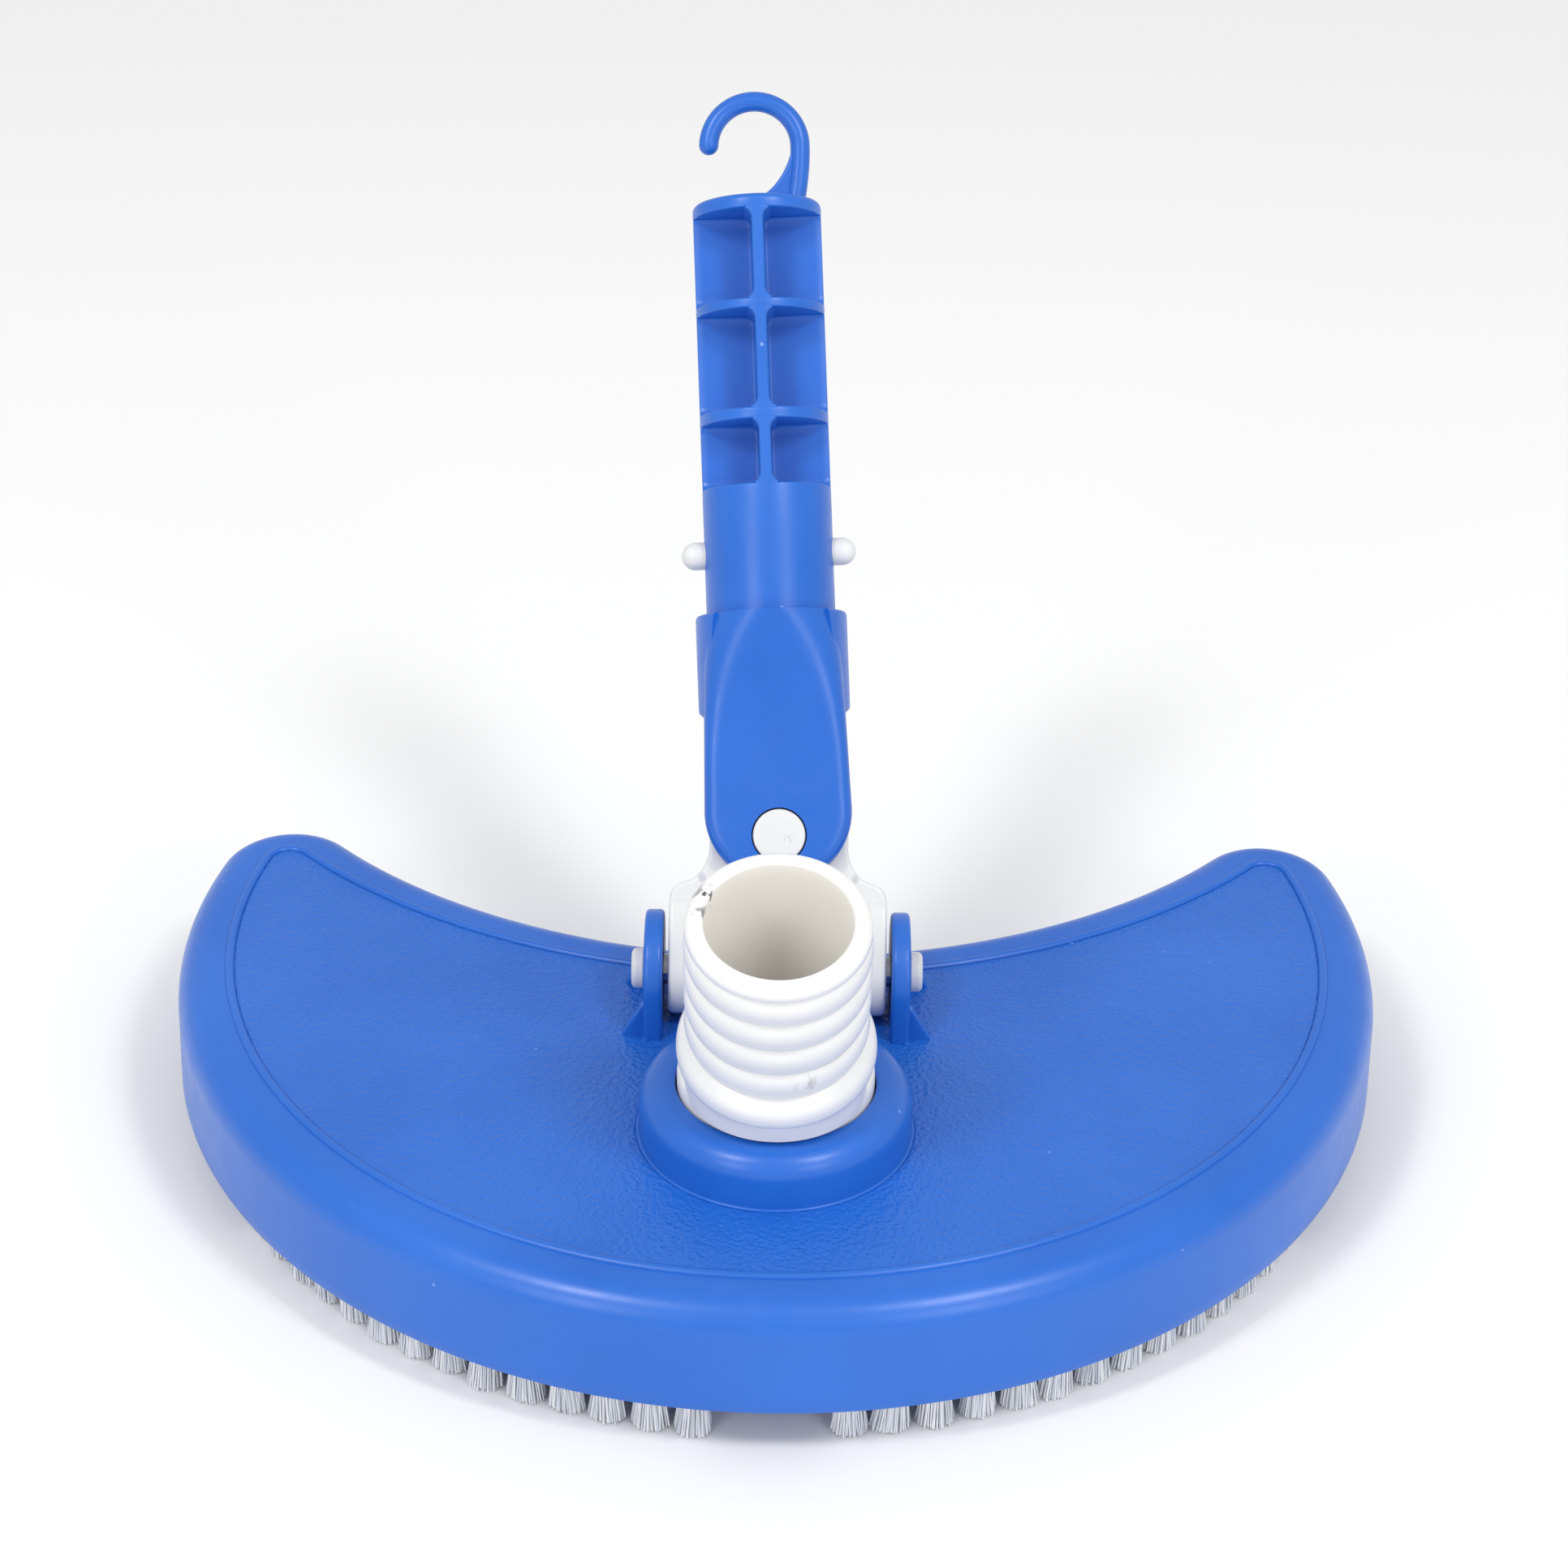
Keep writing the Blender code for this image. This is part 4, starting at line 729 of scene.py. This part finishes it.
def strip(centre_y, radius, first, last, steps=60):
    """Curved bar that holds the tufts: a rounded oblong carried along its arc."""
    angle = np.radians(np.linspace(first, last, steps))
    wide, tall, bend = STRIP_HALF, (STRIP_TOP - STRIP_FOOT) / 2, 0.4
    corner = [bow(sx * (wide - bend), sz * (tall - bend), bend, a, a + 90, 4)
              for sx, sz, a in ((1, 1, 0), (-1, 1, 90), (-1, -1, 180), (1, -1, 270))]
    ring = np.concatenate(corner)
    size = np.concatenate([[0], np.ones(steps), [0]])[:, None, None]
    angle = np.concatenate([angle[:1], angle, angle[-1:]])[:, None]
    section = ring[None] * size
    out = radius + section[..., 0]
    height = (STRIP_TOP + STRIP_FOOT) / 2 + section[..., 1]
    return np.stack([out * np.sin(angle), centre_y - out * np.cos(angle), height], -1)


def bristles(centre_y, radius, angles, seed):
    """Nylon bristles of each tuft: thin four-sided tapers from a sunflower pattern at the root
    to a wider one at the floor, bowed a little, each with its own length and tone."""
    chance = np.random.default_rng(seed)
    tufts = len(angles)
    shape = (tufts, BRISTLES_PER_TUFT)
    order = np.arange(BRISTLES_PER_TUFT)
    turn = order * SUNFLOWER_TURN
    far = np.sqrt((order + 0.5) / BRISTLES_PER_TUFT)
    spot = np.stack([far * np.cos(turn), far * np.sin(turn)], -1)[None]
    share = np.array([0.0, 0.45, 1.0])[None, None, :, None]
    root = spot * np.array(TUFT_ROOT) * 0.94
    tip = spot * np.array(TUFT_TIP) * chance.uniform(0.94, 1.06, (tufts, 1, 2))
    tip = tip + chance.normal(0, 0.13, (*shape, 2)) + chance.normal(0, 0.25, (tufts, 1, 2))
    bowed = chance.normal(0, 0.14, (*shape, 2))[:, :, None] * (4 * share * (1 - share))
    path = root[:, :, None] * (1 - share ** BRISTLE_SPLAY) + tip[:, :, None] * share ** BRISTLE_SPLAY + bowed
    ragged = 0.04 + np.abs(chance.normal(0, 0.13, shape)) + 0.5 * chance.uniform(0, 1, shape) ** 9
    height = STRIP_FOOT + 0.6 - (STRIP_FOOT + 0.6 - ragged[:, :, None]) * share[..., 0]
    thick = np.array(BRISTLE_HALF)[None, None] * chance.uniform(0.85, 1.15, (*shape, 1))
    spin = chance.uniform(0, math.pi, (*shape, 1, 1)) + np.arange(4) * math.pi / 2
    along = path[..., :1] + thick[..., None] * np.cos(spin)
    across = path[..., 1:] + thick[..., None] * np.sin(spin)
    angle = np.radians(angles)[:, None, None, None]
    out = radius + across
    points = np.stack([out * np.sin(angle) + along * np.cos(angle),
                       centre_y - out * np.cos(angle) + along * np.sin(angle),
                       np.broadcast_to(height[..., None], along.shape)], -1)
    tone = np.broadcast_to(chance.uniform(0, 1, shape)[..., None, None], along.shape)
    return points.reshape(-1, 3, 4, 3), tone.reshape(-1)


def brush(name, centre_y, radius, angles, node, seed):
    """One strip and its tufts as a single mesh; the mask is -1 on the strip, a tone on bristles."""
    first, last = min(angles) - STRIP_OVERHANG, max(angles) + STRIP_OVERHANG
    bar = strip(centre_y, radius, first, last)
    hairs, tone = bristles(centre_y, radius, np.array(angles), seed)
    count = len(hairs)
    rings, corners = hairs.shape[1:3]
    ends = np.array([(0, 1, 2, 3), (11, 10, 9, 8)])
    one = np.concatenate([grid_faces(rings, corners, False), ends])
    start = bar.shape[0] * bar.shape[1]
    first_point = start + np.arange(count) * rings * corners
    hair_faces = (one[None] + first_point[:, None, None]).reshape(-1, 4)
    points = np.concatenate([bar.reshape(-1, 3), hairs.reshape(-1, 3)])
    origin = SWIVEL * np.array([1, 1, 0])
    mask = np.concatenate([np.full(start, -1.0), tone])
    faces = np.concatenate([grid_faces(*bar.shape[:2], False), hair_faces])
    mesh = skin((points + origin) * MM, faces, mask)
    closed_up(mesh, 1e-6)
    mesh.name = name
    return finished(name, mesh, NYLON, "head", [node], 50.0)


# ---------------------------------------------------------------- materials

class Value:
    """A node's output that can be added and multiplied in plain expressions."""

    def __init__(self, graph, socket):
        self.graph, self.socket = graph, socket

    def math(self, operation, first, second):
        return self.graph.node("ShaderNodeMath", {"operation": operation}, [first, second])

    def __add__(self, other):
        return self.math("ADD", self, other)

    def __mul__(self, other):
        return self.math("MULTIPLY", self, other)

    def over(self, limit):
        """1 where the value is above the limit, and 0 elsewhere."""
        return self.math("GREATER_THAN", self, limit)

    __radd__ = __add__
    __rmul__ = __mul__


class Finish:
    """One material, with a single way to add a node and link it up."""

    def __init__(self, name, roughness, metallic=0.0):
        self.material = bpy.data.materials.new(name)
        self.material.use_nodes = True
        self.tree = self.material.node_tree
        self.shader = self.tree.nodes["Principled BSDF"]
        self.shader.inputs["Roughness"].default_value = roughness
        self.shader.inputs["Metallic"].default_value = metallic
        self.place = self.node("ShaderNodeTexCoord", {}, {}, "Object")

    def node(self, kind, settings, inputs, output=0):
        """Adds a node, sets it, feeds its sockets by number or name, and gives one output."""
        made = self.tree.nodes.new(kind)
        for key, value in settings.items():
            setattr(made, key, value)
        pairs = inputs.items() if isinstance(inputs, dict) else enumerate(inputs)
        for key, value in pairs:
            if isinstance(value, Value):
                self.tree.links.new(value.socket, made.inputs[key])
            else:
                made.inputs[key].default_value = value
        return Value(self, made.outputs[output])

    def feed(self, socket, value):
        """Links a value to a socket of the shader."""
        self.tree.links.new(value.socket, self.shader.inputs[socket])

    def noise(self, scale, detail=2.0, where=None):
        """Cloudy noise over the object's own place, or over another vector."""
        return self.node("ShaderNodeTexNoise", {}, {"Vector": where or self.place, "Scale": scale,
                                                    "Detail": detail})

    def stretched(self, size, turn=(0.0, 0.0, 0.0)):
        """The object's place, scaled and turned, for streaks."""
        return self.node("ShaderNodeMapping", {}, {"Vector": self.place, "Scale": size,
                                                   "Rotation": turn})

    def band(self, value, low, high, start=0.0, end=1.0):
        """Moves a value from low to high on to start to end, and holds it there."""
        return self.node("ShaderNodeMapRange", {}, {"Value": value, "From Min": low,
                                                    "From Max": high, "To Min": start, "To Max": end})

    def mask(self):
        """The number that each point of the mesh keeps."""
        return self.node("ShaderNodeAttribute", {"attribute_name": "mask"}, {}, "Fac")

    def mix(self, share, first, second):
        """A colour between two, by share."""
        return self.node("ShaderNodeMix", {"data_type": "RGBA"}, {0: share, 6: first, 7: second}, 2)

    def dust(self, scale, limit):
        """Tiny round specks in a few of the cells of a cell pattern."""
        near = self.node("ShaderNodeTexVoronoi", {}, {"Vector": self.place, "Scale": scale})
        cell = self.node("ShaderNodeTexVoronoi", {}, {"Vector": self.place, "Scale": scale}, "Color")
        pick = self.node("ShaderNodeSeparateColor", {}, [cell])
        return self.band(near, 0.05, 0.10, 1.0, 0.0) * pick.over(limit)

    def scuff(self, place, reach):
        """Broken black rub marks that thin out with distance from a place."""
        away = self.node("ShaderNodeVectorMath", {"operation": "DISTANCE"},
                         {0: self.place, 1: np.array(place) * MM}, "Value")
        marks = self.noise(1.0, 4.0, self.stretched((700, 500, 300), (0.3, 0.5, 0.0)))
        return self.band(away, 0.25 * reach * MM, reach * MM, 1.0, 0.0) * self.band(marks, 0.53, 0.60)

    def bump(self, height, distance):
        """Raises the surface by a height from 0 to 1, over a distance in metres."""
        self.feed("Normal", self.node("ShaderNodeBump", {}, {"Height": height, "Strength": 1.0,
                                                             "Distance": distance}, "Normal"))


def rgba(red, green, blue):
    """An opaque colour."""
    return (red, green, blue, 1.0)


def moulded_blue(name, grained):
    """Blue plastic: slight clouding, pale dust and rubbed streaks, and leather grain by mask."""
    look = Finish(name, 0.4)
    cloud = look.band(look.noise(22.0, 3.0), 0.35, 0.68)
    colour = look.mix(cloud, rgba(0.010, 0.118, 0.53), rgba(0.017, 0.140, 0.59))
    rub = look.band(look.noise(1.0, 3.0, look.stretched((150, 150, 1700), (0.5, 0.3, 0.7))),
                    0.70, 0.78) * look.band(look.noise(45.0), 0.56, 0.68)
    colour = look.mix(rub * 0.5, colour, rgba(0.10, 0.26, 0.78))
    specks = look.dust(190.0, 0.95)
    colour = look.mix(specks * 0.6, colour, rgba(0.30, 0.46, 0.86))
    look.feed("Base Color", colour)
    look.feed("Roughness", look.band(look.noise(130.0, 3.0), 0.3, 0.7, 0.29, 0.36))
    height = look.noise(1500.0, 2.0) * 0.02
    if grained:
        warp = look.node("ShaderNodeTexNoise", {}, {"Vector": look.place, "Scale": 500.0}, "Color")
        pushed = look.node("ShaderNodeVectorMath", {"operation": "SCALE"}, {0: warp, "Scale": 0.0012})
        bent = look.node("ShaderNodeVectorMath", {"operation": "ADD"}, {0: look.place, 1: pushed})
        creases = look.node("ShaderNodeTexVoronoi", {"feature": "SMOOTH_F1"},
                            {"Vector": bent, "Scale": 950.0})
        height = height + look.mask() * (creases + look.noise(2300.0, 1.0) * 0.35) * 0.75
    look.bump(height, 0.00042)
    return look.material


def moulded_white(name, shade, scuffs, painted_bore_light=False):
    """White plastic: very faint clouding, grey smudges and a few black scuffs, and a painted warm light
    that makes the bore paler and warmer. A scuff is a place in millimetres, its reach, and how dark it is."""
    look = Finish(name, 0.36)
    cloud = look.band(look.noise(30.0, 2.0), 0.35, 0.7)
    colour = look.mix(cloud, rgba(shade, shade, shade - 0.005),
                      rgba(shade + 0.04, shade + 0.04, shade + 0.035))
    smudge = look.band(look.noise(1.0, 4.0, look.stretched((55, 55, 190))), 0.66, 0.76)
    colour = look.mix(smudge * 0.22, colour, rgba(0.48, 0.46, 0.43))
    specks = look.dust(240.0, 0.975)
    colour = look.mix(specks * 0.5, colour, rgba(0.35, 0.34, 0.32))
    # Painted light: the bore's inner wall, by its mask, turns a paler warm white that stands in for light
    # bounced inside the bore.
    if painted_bore_light:
        colour = look.mix(look.mask(), colour, rgba(0.96, 0.94, 0.89))
    for place, reach, dark in scuffs:
        colour = look.mix(look.scuff(place, reach) * dark, colour, rgba(0.03, 0.03, 0.03))
    look.feed("Base Color", colour)
    look.feed("Roughness", look.band(look.noise(90.0), 0.3, 0.7, 0.28, 0.38))
    look.bump(look.noise(900.0, 2.0), 0.00002)
    return look.material


def nylon():
    """Bristle nylon: each bristle has its own tone from cool grey to near white."""
    look = Finish("bristle_nylon", 0.38)
    tone = look.mask()
    colour = look.mix(tone, rgba(0.62, 0.66, 0.74), rgba(0.94, 0.95, 0.97))
    colour = look.mix(look.band(tone, -1.0, -0.5, 1.0, 0.0), colour, rgba(0.72, 0.76, 0.84))
    look.feed("Base Color", colour)
    look.feed("Roughness", look.band(look.noise(400.0), 0.3, 0.7, 0.3, 0.45))
    return look.material


def metal(name, dark, pale, roughness, size):
    """Drawn or cast metal: stretched noise in its colour, roughness and bump."""
    look = Finish(name, roughness, 1.0)
    streaks = look.noise(1.0, 4.0, look.stretched(size))
    look.feed("Base Color", look.mix(look.band(streaks, 0.3, 0.7), rgba(*dark), rgba(*pale)))
    look.feed("Roughness", look.band(streaks, 0.3, 0.7, roughness - 0.08, roughness + 0.08))
    look.bump(streaks, 0.00003)
    return look.material


def seal_rubber():
    """Matte black rubber with a fine grey bloom."""
    look = Finish("seal_rubber", 0.75)
    bloom = look.band(look.noise(260.0, 4.0), 0.4, 0.7)
    look.feed("Base Color", look.mix(bloom, rgba(0.018, 0.018, 0.018), rgba(0.045, 0.044, 0.042)))
    look.feed("Roughness", look.band(bloom, 0.0, 1.0, 0.68, 0.85))
    look.bump(look.noise(1200.0), 0.00003)
    return look.material


BLUE_GRAINED = moulded_blue("blue_plastic_grained", True)
BLUE = moulded_blue("blue_plastic_smooth", False)
TAIL_FOOT = SWIVEL + (0, TAIL_SETBACK, 0)
WHITE = moulded_white("white_plastic", 0.70, [(CLEVIS + HANDLE_AXES @ (2.2, -10.6, -1.0), 1.6, 0.35)])
# The connector's white has painted warm light on the inner wall of its bore.
CONNECTOR_WHITE = moulded_white("white_plastic_connector", 0.79, [
    (TAIL_FOOT + TAIL_AXES @ (-14.6, 6.4, TAIL_LENGTH - 0.8), 3.4, 0.95),
    (TAIL_FOOT + TAIL_AXES @ (-15.2, 1.8, TAIL_LENGTH - 0.3), 2.6, 0.7),
    (TAIL_FOOT + TAIL_AXES @ (6.0, -18.0, 37.0), 3.2, 0.32)], True)
NYLON = nylon()
STEEL = metal("bright_steel", (0.36, 0.36, 0.38), (0.58, 0.58, 0.60), 0.28, (900, 60, 60))
BALLAST = metal("ballast_steel", (0.14, 0.14, 0.15), (0.26, 0.26, 0.27), 0.58, (220, 220, 220))
RUBBER = seal_rubber()


# ---------------------------------------------------------------- object

def with_bore_mask(grids):
    """Marks the connector's inner wall for its painted warm light: the last rows of its grid, fading out
    over the rim's first.
    """
    points, looped = grids[0]
    inner = np.zeros(points.shape[:2] + (1,))
    inner[-BORE_ROWS:] = 1.0
    inner[:RIM_ROWS] = np.linspace(1.0, 0.3, RIM_ROWS)[:, None, None]
    return [(np.concatenate([points, inner], -1), looped)]


piece("cover_moulding", cover() + posts(), SWIVEL, UPRIGHT, BLUE_GRAINED, "head",
      ["shell"])
piece("hinge_ears", ears(), HINGE, UPRIGHT, BLUE, "head", [])
piece("connector_moulding", with_bore_mask(tail()), SWIVEL, UPRIGHT, CONNECTOR_WHITE, "connector",
      ["hose_connector"], 38.0)
piece("yoke_moulding", yoke_block(), HINGE, YOKE_AXES, WHITE, "yoke", ["yoke"], 40.0)
piece("handle_moulding", handle_moulding(), CLEVIS, HANDLE_AXES, BLUE, "handle",
      ["handle"], 34.0)
piece("pin_moulding", pin_head(), CLEVIS, HANDLE_AXES, WHITE, "handle",
      ["clevis_pin"])
for side, mirror in (("right", False), ("left", True)):
    piece(f"snap_button_{side}", snap_button(mirror), CLEVIS, HANDLE_AXES, WHITE, f"button_{side}",
          [f"button_{side}"])
    piece(f"end_cap_{side}", axle_cap(mirror), HINGE, UPRIGHT, WHITE, "head",
          [f"axle_cap_{side}"])

rear_pitch = TUFT_PITCH * FRONT_BRUSH_RADIUS / REAR_BRUSH_RADIUS
for seed, (side, sign) in enumerate((("right", 1), ("left", -1))):
    front_angles = [sign * (TUFT_FIRST + TUFT_PITCH * i) for i in range(FRONT_TUFTS)]
    rear_angles = [sign * (REAR_TUFT_FIRST + rear_pitch * i) for i in range(REAR_TUFTS)]
    brush(f"front_bristles_{side}", FRONT_CENTRE, FRONT_BRUSH_RADIUS, front_angles,
          f"brush_front_{side}", 11 + seed)
    brush(f"rear_bristles_{side}", REAR_CENTRE, REAR_BRUSH_RADIUS, rear_angles,
          f"brush_rear_{side}", 21 + seed)

CARRIED_OVER = {
    "base_plate": BLUE, "connector_seal": RUBBER, "connector_retainer": WHITE,
    "clevis_pin_cap": WHITE, "button_spring": WHITE, "pivot_axle": STEEL,
    "weight_left": BALLAST, "weight_right": BALLAST,
    **{f"base_screw_{number}": STEEL for number in range(1, 7)},
}
for node, looks in CARRIED_OVER.items():
    mesh = frame["nodes"][node].data
    mesh.materials.clear()
    mesh.materials.append(looks)


# ---------------------------------------------------------------- floor, light and camera

def floor():
    """Wide pale floor under the bristles."""
    mesh = bpy.data.meshes.new("floor")
    corners = [(x * FLOOR_HALF, y * FLOOR_HALF, 0) for x, y in ((-1, -1), (1, -1), (1, 1), (-1, 1))]
    mesh.from_pydata(corners, [], [(0, 1, 2, 3)])
    look = Finish("pale_floor", 0.9)
    look.shader.inputs["Base Color"].default_value = rgba(0.90, 0.90, 0.90)
    mesh.materials.append(look.material)
    ground = bpy.data.objects.new("floor", mesh)
    ground.location.z = -FLOOR_DROP
    bpy.context.scene.collection.objects.link(ground)


def softbox(name, place, power, size):
    """Rectangular lamp aimed at the middle of the object."""
    lamp = bpy.data.lights.new(name, "AREA")
    lamp.shape = "RECTANGLE"
    lamp.size, lamp.size_y = size
    lamp.energy = power
    thing = bpy.data.objects.new(name, lamp)
    thing.location = place
    towards = Vector(LAMP_AIM) - thing.location
    thing.rotation_euler = towards.to_track_quat("-Z", "Y").to_euler()
    bpy.context.scene.collection.objects.link(thing)


def camera():
    """Long lens in front of the head that looks down at it by about 30 degrees."""
    lens = bpy.data.cameras.new("camera")
    lens.sensor_width = CAMERA_SENSOR
    lens.lens = CAMERA_LENS
    lens.clip_start = 0.01
    eye = bpy.data.objects.new("camera", lens)
    turn = Euler([math.radians(angle) for angle in CAMERA_TURN])
    eye.matrix_world = Matrix.LocRotScale(Vector(CAMERA_PLACE), turn, None)
    bpy.context.scene.collection.objects.link(eye)
    bpy.context.scene.camera = eye


floor()
for side, sign in (("left", -1), ("right", 1)):
    for lamp, ((x, y, z), power, size) in LAMPS.items():
        softbox(f"{lamp}_{side}", (x * sign, y, z), power, size)
camera()
world = bpy.data.worlds.new("studio")
world.use_nodes = True
world.node_tree.nodes["Background"].inputs["Color"].default_value = rgba(1.0, 1.0, 1.0)
world.node_tree.nodes["Background"].inputs["Strength"].default_value = WORLD_STRENGTH
bpy.context.scene.world = world
bpy.context.scene.view_settings.view_transform = "Standard"
